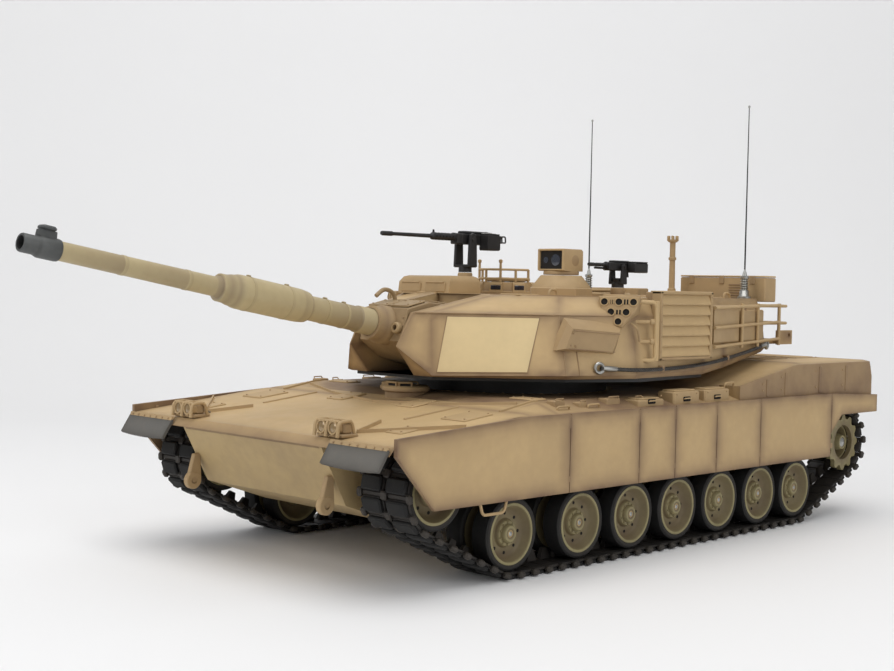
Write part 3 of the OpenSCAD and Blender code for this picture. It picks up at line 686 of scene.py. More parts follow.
def cut(obj, cutter):
    """Takes a form out of an object's mesh, exactly, and leaves the object where it was."""
    mesh = bpy.data.meshes.new("cutter")
    mesh.from_pydata((np.concatenate(cutter.points) * MM).tolist(), [], cutter.faces)
    b = bmesh.new()
    b.from_mesh(mesh)
    bmesh.ops.recalc_face_normals(b, faces=b.faces)
    b.to_mesh(mesh)
    b.free()
    tool = bpy.data.objects.new("cutter", mesh)
    bpy.context.scene.collection.objects.link(tool)
    step = obj.modifiers.new("Cut", "BOOLEAN")
    step.operation, step.solver, step.object = "DIFFERENCE", "EXACT", tool
    bpy.context.view_layer.update()
    result = bpy.data.meshes.new_from_object(obj.evaluated_get(bpy.context.evaluated_depsgraph_get()))
    obj.modifiers.clear()
    obj.data = result
    bpy.data.objects.remove(tool)
    result.polygons.foreach_set("use_smooth", np.ones(len(result.polygons), bool))
    result.set_sharp_from_angle(angle=math.radians(32))


def both(form):
    """A form and its mirror image across the middle plane."""
    return Form().join(form).join(form.mirrored())


def build_hull():
    """The roof with its two round holes cut, then strips, plates, boxes, louvres and bolts. What lies
    on a slope is lifted by roof_height at its own station."""
    form = hull_form()
    hull = piece("hull_roof", form, ["paint", "void"], "hull", ["upper_hull"])
    holes = Form()
    add_lathe(holes, [[DECK_Z - 8, 62.2], [DECK_Z + 12, 62.2]], (TURRET_X, 0, 0), (0, 0, 1), 96)
    add_lathe(holes, [[DECK_Z - 12, 10], [DECK_Z + 12, 10]], (behind_nose(118), 0, 0), (0, 0, 1), 48)
    cut(hull, holes)
    d = Form()
    # Coaming of the driver's opening and the rain ridge ahead of it
    add_lathe(d, [[DECK_Z - 4, 10.2], [DECK_Z + 0.2, 10.2], [DECK_Z + 0.2, 12.4], [DECK_Z - 4, 12.4]],
              (behind_nose(118), 0, 0), (0, 0, 1), 48, 0, 0.8, True)
    half = Form()
    # Splash ridge over the glacis, bolted flat strips, deck plates and their bolts
    def ridge(a, b, height=1.6, thick=1.2):
        a, b = np.array(a, float), np.array(b, float)
        u = (b - a) / np.linalg.norm(b - a)
        n = np.array([-u[1], u[0]]) * thick / 2
        steps = np.linspace(0, 1, 7)[:, None]
        line = a + (b - a) * steps
        z = roof_height(NOSE_X - line[:, 0], line[:, 1])
        rings = np.stack([np.concatenate([line - n, z[:, None] - 0.4], 1),
                          np.concatenate([line + n, z[:, None] - 0.4], 1),
                          np.concatenate([line + n * 0.7, z[:, None] + height], 1),
                          np.concatenate([line - n * 0.7, z[:, None] + height], 1)], 1)
        add_rings(half, rings, 0, 0.3)
    ridge((behind_nose(22), 66), (behind_nose(58), 108), 1.8)
    ridge((behind_nose(22), 66), (behind_nose(48), 55), 1.8)
    ridge((behind_nose(92), 0), (behind_nose(104), 50), 1.2)
    ridge((behind_nose(104), 50), (behind_nose(118), 88), 1.2)
    ridge((behind_nose(60), 60.5), (behind_nose(100), 60.5), 0.7, 2.2)
    ridge((behind_nose(100), 92), (behind_nose(130), 92), 0.9, 1.6)
    for s, y, w, l in ((30, 84, 16, 12), (70, 86, 22, 18), (88, 30, 20, 14), (132, 78, 12, 18)):
        z = roof_height(np.array([s, s + w]), y)
        slope = (z[1] - z[0]) / w
        def lie(p, slope=slope, s=s, z=z):
            p = p.copy()
            p[..., 2] += z[0] + (NOSE_X - p[..., 0] - s) * slope
            return p
        add_block(half, (behind_nose(s + w), y - l / 2, -0.3), (behind_nose(s), y + l / 2, 0.8), 0.5, 0, 0.25, lie)
        bolts(half, [(behind_nose(s + a), y + b, roof_height(s + a, y) + 0.8)
                     for a in (2, w - 2) for b in (-l / 2 + 2, l / 2 - 2)], (0, 0, 1), 0.55, 0.5, 0, 0.6)
    # Shoulder boxes with recessed handles, each recess a dark block of painted shadow, lids, and lifting eyes
    for s, w in ((258, 26), (290, 26), (222, 24)):
        x = behind_nose(s)
        low = 94.6 if s > 230 else 91.2
        add_block(half, (x - 0.5, 98, 86), (x + w, 110.2, low), 0.8, 0, 0.35)
        add_block(half, (x + 2, 99.5, low - 0.2), (x + w - 2.5, 108.8, low + 0.8), 0.6, 0, 0.15)
        add_block(half, (x + w / 2 - 3.5, 110.0, 88.6), (x + w / 2 + 3.5, 110.9, 91.4), 0.4, 1, 1.0)
        add_tube(half, rounded_path([(x + w / 2 - 3, 110.4, 90), (x + w / 2 - 3, 111.4, 90.4),
                                     (x + w / 2 + 3, 111.4, 90.4), (x + w / 2 + 3, 110.4, 90)], 0.5), 0.4, 6, 0, 0.2)
        bolts(half, [(x + 3, 110.2, 93), (x + w - 3, 110.2, 93)], (0, 1, 0), 0.5, 0.5, 0, 0.5)
    for s in (225, 300, 140, 166):
        z = float(roof_height(s, 108))
        add_tube(half, rounded_path([(behind_nose(s), 106, z - 1), (behind_nose(s), 107, z + 2.2),
                                     (behind_nose(s) + 10, 107, z + 2.2), (behind_nose(s) + 10, 106, z - 1)], 1.5),
                 0.6, 8, 0, 0.3)
    # Small flat boxes and clamps along the shoulder, ahead of the turret
    for s, y, w, d0, h in ((132, 100, 9, 6, 2.4), (150, 103, 7, 5, 2.0), (176, 101, 12, 7, 2.2), (200, 103, 8, 5, 2.4)):
        z = float(roof_height(s, y))
        add_block(half, (behind_nose(s + w), y - d0 / 2, z - 2), (behind_nose(s), y + d0 / 2, z + h), 0.5, 0, 0.5)
        add_tube(half, rounded_path([(behind_nose(s + w - 1), y + d0 / 2 - 1, z + h - 0.5),
                                     (behind_nose(s + w - 1.5), y + d0 / 2, z + h + 1.0),
                                     (behind_nose(s + 1.5), y + d0 / 2, z + h + 1.0),
                                     (behind_nose(s + 1), y + d0 / 2 - 1, z + h - 0.5)], 0.4), 0.35, 6, 0, 0.6)
    d.join(both(half))
    # Louvred plates of the engine deck and its cover over the tail
    grille = Form()
    for s in (385, 425):
        for y in (-78, -26, 26):
            x = behind_nose(s + 30)
            add_block(grille, (x, y, ENGINE_Z - 0.4), (x + 30, y + 50, ENGINE_Z + 0.35), 0.5, 0, 0.5)
            for k in range(9):
                add_block(grille, (x + 2 + 3 * k, y + 3, ENGINE_Z + 0.2), (x + 3.6 + 3 * k, y + 47, ENGINE_Z + 0.8),
                          0.3, 0, 0.1)
            bolts(grille, [(x + a, y + b, ENGINE_Z + 0.3) for a in (1, 29) for b in (1.2, 25, 48.8)], (0, 0, 1),
                  0.5, 0.4, 0, 0.5)
    d.join(grille)
    # Tail plate: grille slats and hinge blocks
    for k in range(7):
        z = 80 + 2.9 * k
        add_block(d, (behind_nose(468.0), -52, z), (behind_nose(464.5), 52, z + 1.7), 0.5, 0, 0.6)
    for y in (-98, -72, 60, 86):
        add_block(d, (behind_nose(469.0), y, 80), (behind_nose(463.8), y + 14, 98), 0.8, 0, 0.4)
    # Seams across the raised side plates
    for sign in (1, -1):
        for s in (330, 352, 395, 430):
            top = float(roof_height(s, 111)) - 2
            add_block(d, (behind_nose(s + 3), sign * SIDE_Y - 0.3, 88), (behind_nose(s), sign * SIDE_Y + 0.5, top),
                      0.25, 0, 0.9)
            bolts(d, [(behind_nose(s - 4), sign * SIDE_Y, 92), (behind_nose(s - 4), sign * SIDE_Y, top - 3)],
                  (0, sign, 0), 0.6, 0.5, 0, 0.5)
    # Bolts round the turret ring's race
    a = np.linspace(0, 2 * math.pi, 36, endpoint=False)
    bolts(d, [(TURRET_X + 65.5 * math.cos(k), 65.5 * math.sin(k), DECK_Z) for k in a
              if NOSE_X - TURRET_X - 65.5 * math.cos(k) < 276], (0, 0, 1), 0.7, 0.5, 0, 0.7)
    piece("hull_details", d, ["paint", "void"], "hull", sharp=40)


def skirt_line(which, s, lowest):
    """Heights of a skirt panel's top and bottom edges: straight between given stations."""
    top = np.interp(s, [4.5, 100, 408.7, 471.7], [81, 87, 87, 84])
    bottom = np.interp(s, [4, 30.5], [73, lowest]) if which < 6 else np.interp(s, [408.7, 422.7], [60, 72])
    return top, bottom


def build_skirts(lowest):
    """Seven flat panels a side between their seams, ruled from top edge to bottom edge."""
    seams = [4.5, 132.7, 194.3, 229.1, 271.8, 320.7, 408.7, 471.7]
    form = Form()
    for k in range(7):
        a, b = seams[k] + (0.25 if k else 0), seams[k + 1] - 0.25
        s = np.unique(np.concatenate([np.linspace(a, b, 14), [a + 0.8, b - 0.8, a + 2.2, b - 2.2],
                                      [x for x in (30.5, 100, 422.7) if a < x < b]]))
        top, bottom = skirt_line(k, s, lowest)
        x, y = behind_nose(s), np.full(len(s), SKIRT_HIGH[1])
        # Each panel darkens towards its edges: airbrushed shading along the seams, and painted shade where the panels
        # meet
        add_panel(form, np.stack([x, y, top], 1), np.stack([x, y, bottom], 1), (0, -2.2, 0), 12, 0, 4.6)
    # Hinges over each seam, latches under them and bolts along the top
    y = SKIRT_HIGH[1]
    for s in seams[1:-1]:
        x = behind_nose(s)
        for z in (82.6, 51.5):
            add_block(form, (x - 2.6, y - 0.6, z - 1.6), (x + 2.6, y - 0.12, z + 1.6), 0.3, 0, 0.6)
        add_tube(form, [(x, y - 0.5, 79.2), (x, y - 0.5, 86.2)], 0.48, 8, 0, 0.7)
        bolts(form, [(x + dx, y - 0.4, z) for dx in (-1.7, 1.7) for z in (81.8, 83.4, 50.7, 52.3)], (0, 1, 0), 0.3,
              0.35, 0, 0.8)
        add_block(form, (x - 5.5, y - 0.5, 66), (x - 3.9, y - 0.1, 71), 0.25, 0, 0.8)
    for k in range(1, 7):
        mid = (seams[k] + seams[k + 1]) / 2
        bolts(form, [(behind_nose(mid + dx), y - 0.2, 84.4) for dx in (-10, 10)], (0, 1, 0), 0.5, 0.2, 0, 0.8)
    # Recessed latch, its hollow a dark block of painted shadow, and the boarding loop of the first panel
    x = behind_nose(112)
    add_block(form, (x - 4.2, y - 1.0, 57), (x + 4.2, y - 0.06, 66), 0.4, 0, 0.9)
    add_block(form, (x - 2.6, y - 0.6, 58.4), (x + 2.6, y - 0.02, 64.4), 0.4, 1, 1.0)
    add_block(form, (x - 0.8, y - 0.6, 59.4), (x + 0.8, y - 0.01, 63.6), 0.2, 0, 0.1)
    loop = rounded_path([(behind_nose(63.5), y - 1.3, 46.5), (behind_nose(66), y - 1.3, 38.4),
                         (behind_nose(82), y - 1.3, 38.4), (behind_nose(84.5), y - 1.3, 46.5)], 2.5, 7)
    add_tube(form, loop, 0.8, 8, 0, 0.3)
    # Ribs behind each panel that tie it to the sponson
    for s in (20, 60, 100, 150, 180, 210, 250, 296, 345, 385):
        x = behind_nose(s)
        add_block(form, (x - 1, y - 3.2, 60), (x + 1, y - 2.1, 80), 0.3, 0, 0.8)
    piece("skirts", both(form), ["paint", "void"], "hull", ["side_skirts"], sharp=30)


def build_guards_and_lamps():
    """Flaps ruled between a straight top line and a bottom line bowed by a cosine; lamps and hooks
    are turned profiles, extrusions and bent tubes."""
    high = extent("mudguards")[1]
    form = Form()
    # Rubber flap: a slab bent a little along its middle, under a bolted strip
    y = np.linspace(68.6, 111.4, 22)
    top = np.stack([np.full_like(y, behind_nose(1.4)), y, np.full_like(y, 76.0)], 1)
    bottom = np.stack([behind_nose(-4.9) - 0.9 * np.cos(np.linspace(-1.4, 1.4, 22)) + 0.7, y,
                       65.2 + 0.9 * ((y - 90) / 21) ** 2], 1)
    bottom[:, 0] = np.minimum(bottom[:, 0], high[0] - 0.1)
    add_panel(form, top, bottom, (-1.3, 0, -0.9), 9, 0, 3.0)
    strip = Form()
    add_prism(strip, [[behind_nose(2.4), 75.2], [behind_nose(0.9), 75.4], [behind_nose(1.6), 77.4],
                      [behind_nose(3.2), 77.2]], 68.8, 111.2, "y", 0.3, 0, 0.4)
    bolts(strip, [(behind_nose(0.9), k, 76.3) for k in np.linspace(72, 108, 7)], (0.9, 0, 0.4), 0.6, 0.4, 0, 0.6)
    piece("nose_flaps", both(form), ["flap"], "hull", ["mudguards"], sharp=40)
    lamps = Form().join(strip)
    # Headlamp pod: base plate, two ribbed lamps, a guard of bent strip and its cable
    z = 82.6
    add_block(lamps, (behind_nose(17), 53.5, 77.6), (behind_nose(5.5), 73, 79.6), 0.6, 0, 0.5)
    for y, r in ((58.2, 3.5), (67.2, 3.5)):
        add_lathe(lamps, [[-5.5, 1.8], [-5, 2.8], [-3, 3.2], [-1, r - 0.2], [0, r], [1.4, r], [1.4, r - 0.7],
                          [0.7, r - 0.8]], (behind_nose(5.6), y, z), (1, 0, 0.1), 24, 0, 0.3)
        add_lathe(lamps, [[0.0, r - 0.8], [0.9, r - 0.85], [1.2, 1.8], [1.3, 0.2]], (behind_nose(5.6), y, z),
                  (1, 0, 0.1), 24, 1, 0.1)
    for y in (53.9, 62.7, 71.6):
        path = rounded_path([(behind_nose(15), y, 79), (behind_nose(13), y, 86.0), (behind_nose(4.6), y, 85.6),
                             (behind_nose(3.8), y, 78)], 2.4, 6)
        add_tube(lamps, path, 0.95, 8, 0, 0.3)
    for reach in (5.6, 12.6):
        add_tube(lamps, [(behind_nose(reach), 53.9, 85.8), (behind_nose(reach), 71.6, 85.8)], 0.8, 8, 0, 0.3)
    add_block(lamps, (behind_nose(14.4), 55.2, 79.4), (behind_nose(8.2), 71.6, 85.2), 0.9, 0, 0.5)
    add_tube(lamps, rounded_path([(behind_nose(11), 60, 82), (behind_nose(18), 60, 81), (behind_nose(22), 61, 79.6)],
                                 2), 0.6, 6, 2, 0.2)
    # Tow hooks under the nose: a lug plate and an eye
    add_lathe(lamps, [[0, 1.9], [0, 4.4], [0.5, 4.9], [3.4, 4.9], [3.9, 4.4], [3.9, 1.9]],
              (behind_nose(8.4), 55.8, 42.2), (0, 1, 0), 24, 0, 0.4, True)
    add_prism(lamps, [(behind_nose(13.4), 43), (behind_nose(8), 40.4), (behind_nose(5.4), 45.5), (behind_nose(8.6), 57),
                      (behind_nose(12.6), 57.5)], 56.1, 59.4, "y", 0.4, 0, 0.5)
    # Tail lamps
    add_block(lamps, (behind_nose(470), 60, 88), (behind_nose(465.5), 76, 95), 0.8, 0, 0.4)
    for y in (64, 72):
        add_lathe(lamps, [[-0.5, 2.2], [0.1, 2.2], [0.35, 1.4], [0.45, 0.2]], (behind_nose(469.9), y, 91.5),
                  (-1, 0, 0), 18, 1, 0.1)
    piece("lamps_and_hooks", both(lamps), ["paint", "lamp", "tool"], "hull", ["lamps_and_hooks"], sharp=38)
    # Nose of the tub: bolted joint strip under the glacis, towing plates and belly ribs
    nose = Form()
    for y in np.linspace(-50, 50, 9):
        bolts(nose, [(behind_nose(13.5), y, 56.0)], (0.9, 0, -0.45), 0.9, 0.7, 0, 0.6)
    tilt = np.array([[behind_nose(3.6), 71.5], [behind_nose(3.0), 73], [behind_nose(6), 73], [behind_nose(6.4), 71.5]])
    add_prism(nose, tilt, -58, 58, "y", 0.3, 0, 0.7)
    for i in range(1, 8):
        for side in (1, -1):
            p = WHEELS["l"][i - 1]
            at = (p[0] + 24, side * 60, p[2] + 9)
            add_lathe(nose, [[-0.5, 7.5], [0.9, 7.2], [1.3, 6.4], [1.3, 3.4]], at, (0, side, 0), 24, 0, 0.5)
    piece("tub_details", nose, ["tub"], "hull", sharp=38)


# ---- Tracks and running gear ----

def belt(radius):
    """The closed line at a distance round the two end wheels, the idler and the sprocket: arcs
    round each centre joined by straight runs. Returns its points and each one's distance along it."""
    centres = [WHEELS["l"][6][[0, 2]], WHEELS["l"][0][[0, 2]], IDLER[[0, 2]], SPROCKET[[0, 2]]]
    points = []
    for k, centre in enumerate(centres):
        before, after = centres[k - 1], centres[(k + 1) % 4]
        into = (centre - before) / np.linalg.norm(centre - before)
        out = (after - centre) / np.linalg.norm(after - centre)
        # The outside of a loop that runs forward along the ground lies to the right of its travel
        n0, n1 = np.array([into[1], -into[0]]), np.array([out[1], -out[0]])
        b0, b1 = math.atan2(n0[1], n0[0]), math.atan2(n1[1], n1[0])
        b1 = b0 + (b1 - b0) % (2 * math.pi)
        a = np.linspace(b0, b1, 40)
        points += list(centre + radius * np.stack([np.cos(a), np.sin(a)], 1))
    points = np.array(points + [points[0]])
    length = np.concatenate([[0], np.cumsum(np.linalg.norm(np.diff(points, axis=0), axis=1))])
    return points, length


def link_form():
    """One link: two rubber pads outside, two bodies, connectors at the ends, horn and pins."""
    link = Form()
    for side in (1, -1):
        y0, y1 = sorted((side * 1.6, side * 16.8))
        add_block(link, (-4.2, y0, -2.0), (4.2, y1, -0.5), 0.5, 0, 0.35)
        add_block(link, (-3.7, y0 + 0.7, -0.7), (3.7, y1 - 0.4, 1.88), 0.8, 1, 0.1)
        y0, y1 = sorted((side * 16.4, side * 19.8))
        add_block(link, (3.2, y0, -2.0), (8.2, y1, 1.3), 0.9, 0, 0.9)
        add_block(link, (4.4, min(side * 1.8, side * 17), -1.7), (7.0, max(side * 1.8, side * 17), -0.6), 0.5, 0, 0.5)
    add_block(link, (3.4, -2.1, -1.9), (8.0, 2.1, 1.0), 0.6, 0, 0.7)
    add_rings(link, [[(-2.6, -1.7, -1.8), (5.0, -1.7, -1.8), (5.0, 1.7, -1.8), (-2.6, 1.7, -1.8)],
                     [(-0.8, -0.9, -8.2), (3.2, -0.9, -8.2), (3.2, 0.9, -8.2), (-0.8, 0.9, -8.2)]], 0, 0.6)
    return link


def build_tracks():
    """Links at equal steps along the belt. A point at distance d goes to the belt there, and its
    height outward along the normal, so links bend round the wheels."""
    radius = WHEEL_R + 0.4 + 2.0
    points, length = belt(radius)
    count = int(round(length[-1] / 11.3))
    at = np.arange(count) * length[-1] / count
    link = link_form()
    local = np.concatenate(link.points)
    shade = np.concatenate(link.shade)
    sample = lambda d: np.stack([np.interp(d % length[-1], length, points[:, k]) for k in (0, 1)], -1)
    # Each link point sits at its own distance along the belt, so links bend round the wheels
    d = at[:, None] + local[None, :, 0]
    here = sample(d)
    ahead = sample(d + 1.5) - sample(d - 1.5)
    ahead /= np.linalg.norm(ahead, axis=-1, keepdims=True)
    out = np.stack([ahead[..., 1], -ahead[..., 0]], -1)
    place = here + out * local[None, :, 2:3]
    for side, name in ((1, "left"), (-1, "right")):
        form = Form()
        y = np.broadcast_to(side * TRACK_Y + local[None, :, 1:2], place.shape[:2] + (1,))
        all_points = np.concatenate([place[..., :1], y, place[..., 1:]], -1)
        n = len(local)
        form.points, form.count = [all_points.reshape(-1, 3)], count * n
        form.shade = [np.tile(shade, count)]
        form.faces = [[i + n * k for i in face] for k in range(count) for face in link.faces]
        form.materials = link.materials * count
        piece(f"track_{name}_links", form, ["track", "pad"], "hull", [f"track_{name}"], sharp=40)


def wheel_form(sign, radius, width=30.0, gap=7.0, holes=10):
    """A pair of dished discs on one hub, seen from its own centre; sign is the outer side."""
    form = Form()
    for outer in (1, -1):
        y0, y1 = gap / 2, width / 2
        tyre = [(y0 + 0.2, radius - 3.2), (y0, radius - 1.2), (y0 + 0.7, radius - 0.1), (y0 + 1.6, radius),
                (y1 - 1.6, radius), (y1 - 0.7, radius - 0.1), (y1, radius - 1.2), (y1 - 0.2, radius - 3.2)]
        profile = np.array(tyre) * [outer * sign, 1]
        # Painted shade by the dark values: the disc darkens in the dish, at the hub and at its rim, and the tyre turns
        # lighter brown where it meets the disc
        add_lathe(form, profile, (0, 0, 0), (0, 1, 0), 56, 1, [1, .3, 0, 0, 0, 0, .3, 1], True)
        r = radius - 3.0
        face = [(y0 + 0.4, 2.3), (y0 + 0.4, r - 2), (y0 + 0.1, r - 1.6), (y0 + 0.1, r), (y1 - 0.3, r),
                (y1 + 0.0, r - 0.4), (y1 + 0.0, r - 1.5), (y1 - 0.8, r - 2.0), (y1 - 4.2, r - 3.4),
                (y1 - 5.6, r - 5.4), (y1 - 5.6, 8.0), (y1 - 4.9, 7.4), (y1 - 3.6, 7.0), (y1 - 3.2, 6.6),
                (y1 - 3.2, 2.3)]
        dark = [1, .5, .5, .3, .2, 0, .1, .7, .8, .9, .6, .9, .4, .2, .8]
        add_lathe(form, np.array(face) * [outer * sign, 1], (0, 0, 0), (0, 1, 0), 56, 0, dark, True)
    out = sign
    y1 = width / 2
    # Hub cap with its filler plug, bolts on the flange, and lightening pockets in the dish
    cap = [(y1 - 4.4, 2.1), (y1 - 4.4, 5.2), (y1 - 1.9, 5.0), (y1 - 0.9, 4.2), (y1 - 0.7, 3.4), (y1 - 0.9, 2.9),
           (y1 - 0.9, 2.1)]
    add_lathe(form, np.array(cap) * [out, 1], (0, 0, 0), (0, 1, 0), 32, 0, [.9, .8, .3, .1, .1, .6, 1], True)
    for k in range(holes):
        a = 2 * math.pi * (k + 0.5) / holes
        bolts(form, [(5.95 * math.cos(a), out * (y1 - 3.2), 5.95 * math.sin(a))], (0, out, 0), 0.55, 0.7, 0, 0.3)
    # Hub cap with its filler plug, bolts on the flange, and lightening pockets in the dish, each a disc of painted
    # shadow
    for k in range(8):
        a = 2 * math.pi * k / 8
        add_lathe(form, [(-0.6, 0.95), (0.12, 0.95), (0.14, 0.5)], (10.6 * math.cos(a), out * (y1 - 5.62),
                  10.6 * math.sin(a)), (0, out, 0), 10, 2, 1.0)
    add_lathe(form, [(-3.5, 1.3), (0.05, 1.3), (0.3, 0.9)], (0, out * (y1 - 1.0), 0), (0, out, 0), 16, 3, 0.2)
    return form


def build_wheels():
    """One wheel form copied to each pivot; the idlers take radius and width from their nodes."""
    for side, sign in (("l", 1), ("r", -1)):
        form = wheel_form(sign, WHEEL_R)
        for i in range(1, 8):
            at = WHEELS[side][i - 1].copy()
            at[1] = sign * 88.9
            turned = Form().join(form, lambda p, at=at: p + at)
            piece(f"road_wheel_{side}{i}", turned, ["wheel", "tyre", "void", "steel"], f"wheel_{side}{i}",
                  [f"wheel_{side}{i}"], sharp=36)
    for side, sign in (("left", 1), ("right", -1)):
        low, high = extent(f"idler_{side}")
        radius = (high[0] - low[0]) / 2 - 0.02
        form = wheel_form(sign, radius, high[1] - low[1] - 0.1)
        at = np.array([IDLER[0], (low[1] + high[1]) / 2, IDLER[2]])
        piece(f"idler_wheel_{side}", Form().join(form, lambda p, at=at: p + at),
              ["wheel", "tyre", "void", "steel"], f"idler_{side}", [f"idler_{side}"], sharp=36)


def build_sprockets():
    """Toothed rings whose radius is the root plus the tooth height times a clipped cosine of the
    angle times the number of teeth, on a turned drum."""
    teeth = 12
    for side, sign in (("left", 1), ("right", -1)):
        low, high = extent(f"sprocket_{side}")
        outer = (high[0] - low[0]) / 2 - 0.05
        mid_y = (low[1] + high[1]) / 2
        half = (high[1] - low[1]) / 2 - 0.05
        form = Form()
        a = np.linspace(0, 2 * math.pi, teeth * 8, endpoint=False)
        wave = np.clip(0.5 + 0.95 * np.cos(teeth * a), 0, 1)
        r = outer - 3.0 + 3.0 * wave
        # Painted shade: the toothed rings darken towards their inner edges
        for y0, y1 in ((half - 3.2, half), (-half, -half + 3.2)):
            ring = lambda rr, y: np.stack([rr * np.cos(a), np.full_like(a, y), rr * np.sin(a)], 1)
            rings = np.array([ring(r * 0 + outer - 7.5, y0), ring(r, y0), ring(r, y1 if y1 > 0 else y1),
                              ring(r * 0 + outer - 7.5, y1)])
            faces = [list(f % (4 * len(a))) for f in grid_faces(5, len(a), True)]
            form.add(rings, faces, 0, np.repeat([0.8, 0.2, 0.2, 0.8], len(a)))
        s = sign
        # Painted shade: the drum is darkest on its inner side and in the recess of its face
        drum = [(-half * s * 0.9, 3.4), (-half * s * 0.9, outer - 7.2), (half * s * 0.86, outer - 7.2),
                (half * s * 0.86, outer - 8.6), (half * s * 0.5, outer - 9.6), (half * s * 0.5, 6.2),
                (half * s * 0.86, 5.6), (half * s * 0.98, 4.6), (half * s * 0.98, 3.4)]
        add_lathe(form, drum, (0, 0, 0), (0, 1, 0), 48, 0, [1, 1, .3, .4, .8, .7, .3, .1, .4], True)
        for k in range(12):
            t = 2 * math.pi * (k + 0.5) / 12
            bolts(form, [((outer - 5.6) * math.cos(t), s * half, (outer - 5.6) * math.sin(t))], (0, s, 0),
                  0.8, 0.05, 0, 0.6)
            bolts(form, [(8.2 * math.cos(t), s * half * 0.5, 8.2 * math.sin(t))], (0, s, 0), 0.6, 0.7, 0, 0.5)
        add_lathe(form, [(-2.0, 3.5), (-0.4, 3.5), (-0.1, 2.6), (0.0, 0.3)], (0, s * half * 0.98, 0), (0, s, 0), 24,
                  1, 0.3)
        at = np.array([SPROCKET[0], mid_y, SPROCKET[2]])
        piece(f"drive_sprocket_{side}", Form().join(form, lambda p, at=at: p + at), ["wheel", "steel"],
              f"sprocket_{side}", [f"sprocket_{side}"], sharp=36)


# ---- Turret ----

def add_loft(form, levels, counts, rows, material=0, reach=5.0, closed=False, dark=1.0, plain_rows=()):
    """A skin over levels of corner points, each face between four corners divided into a grid and
    shaded towards its edges. Corners of neighbouring faces share points, so the skin is closed."""
    levels = np.asarray(levels, float)
    wrap = np.concatenate([levels, levels[:, :1]], 1) if closed else levels
    for k in range(len(levels) - 1):
        for i in range(wrap.shape[1] - 1):
            a, b, c, d = wrap[k, i], wrap[k, i + 1], wrap[k + 1, i + 1], wrap[k + 1, i]
            start = len(form.shade)
            add_patch(form, a, b, c, d, counts[i], rows[k], material, reach)
            scale = dark if np.size(dark) == 1 else dark[k]
            form.shade[start] = form.shade[start] * scale


LOW = [(44, 0, 103), (44, 19.4, 103), (101, 19.4, 103), (102, 20, 103), (101, 35, 103), (49, 88, 103), (5, 104, 103),
       (-72, 97, 103), (-100, 93, 106), (-172, 76, 114), (-172, 0, 114)]
MIDDLE = [(44, 0, 119.7), (44, 19.4, 119.7), (116, 19.4, 119.7), (116, 20, 119.7), (103, 36, 103.8), (51, 91, 105.2),
          (5, 105.5, 105.2), (-72, 98.6, 106.5), (-100, 94.6, 109.5), (-172, 79, 117), (-172, 0, 117)]
BROW = [(44, 0, 139), (44, 19.4, 139), (105, 19.4, 139), (105, 22, 139), (97.9, 29, 139), (46, 80, 139), (5, 100, 139),
        (-72, 96.6, 139), (-100, 91.4, 139), (-172, 76, 139), (-172, 0, 139)]
ROOF = [(44, 0, 150), (44, 19.4, 150), (46, 19.4, 150), (46, 22, 150), (44.2, 27.5, 150), (30, 66, 150), (2, 94, 150),
        (-72, 94, 150), (-100, 88.2, 150), (-168, 74, 150), (-168, 0, 150)]


def at_turret(p):
    """From the turret's own lengths, with x from its axis, to the model's."""
    return p + np.array([TURRET_X, 0, 0])


def cheek_point(u, v):
    """A point on the sloped cheek: u along it from the mantlet's side, v up it."""
    a, b, c, d = (np.array(p, float) for p in (MIDDLE[4], MIDDLE[5], BROW[5], BROW[4]))
    return (1 - v) * ((1 - u) * a + u * b) + v * ((1 - u) * d + u * c)


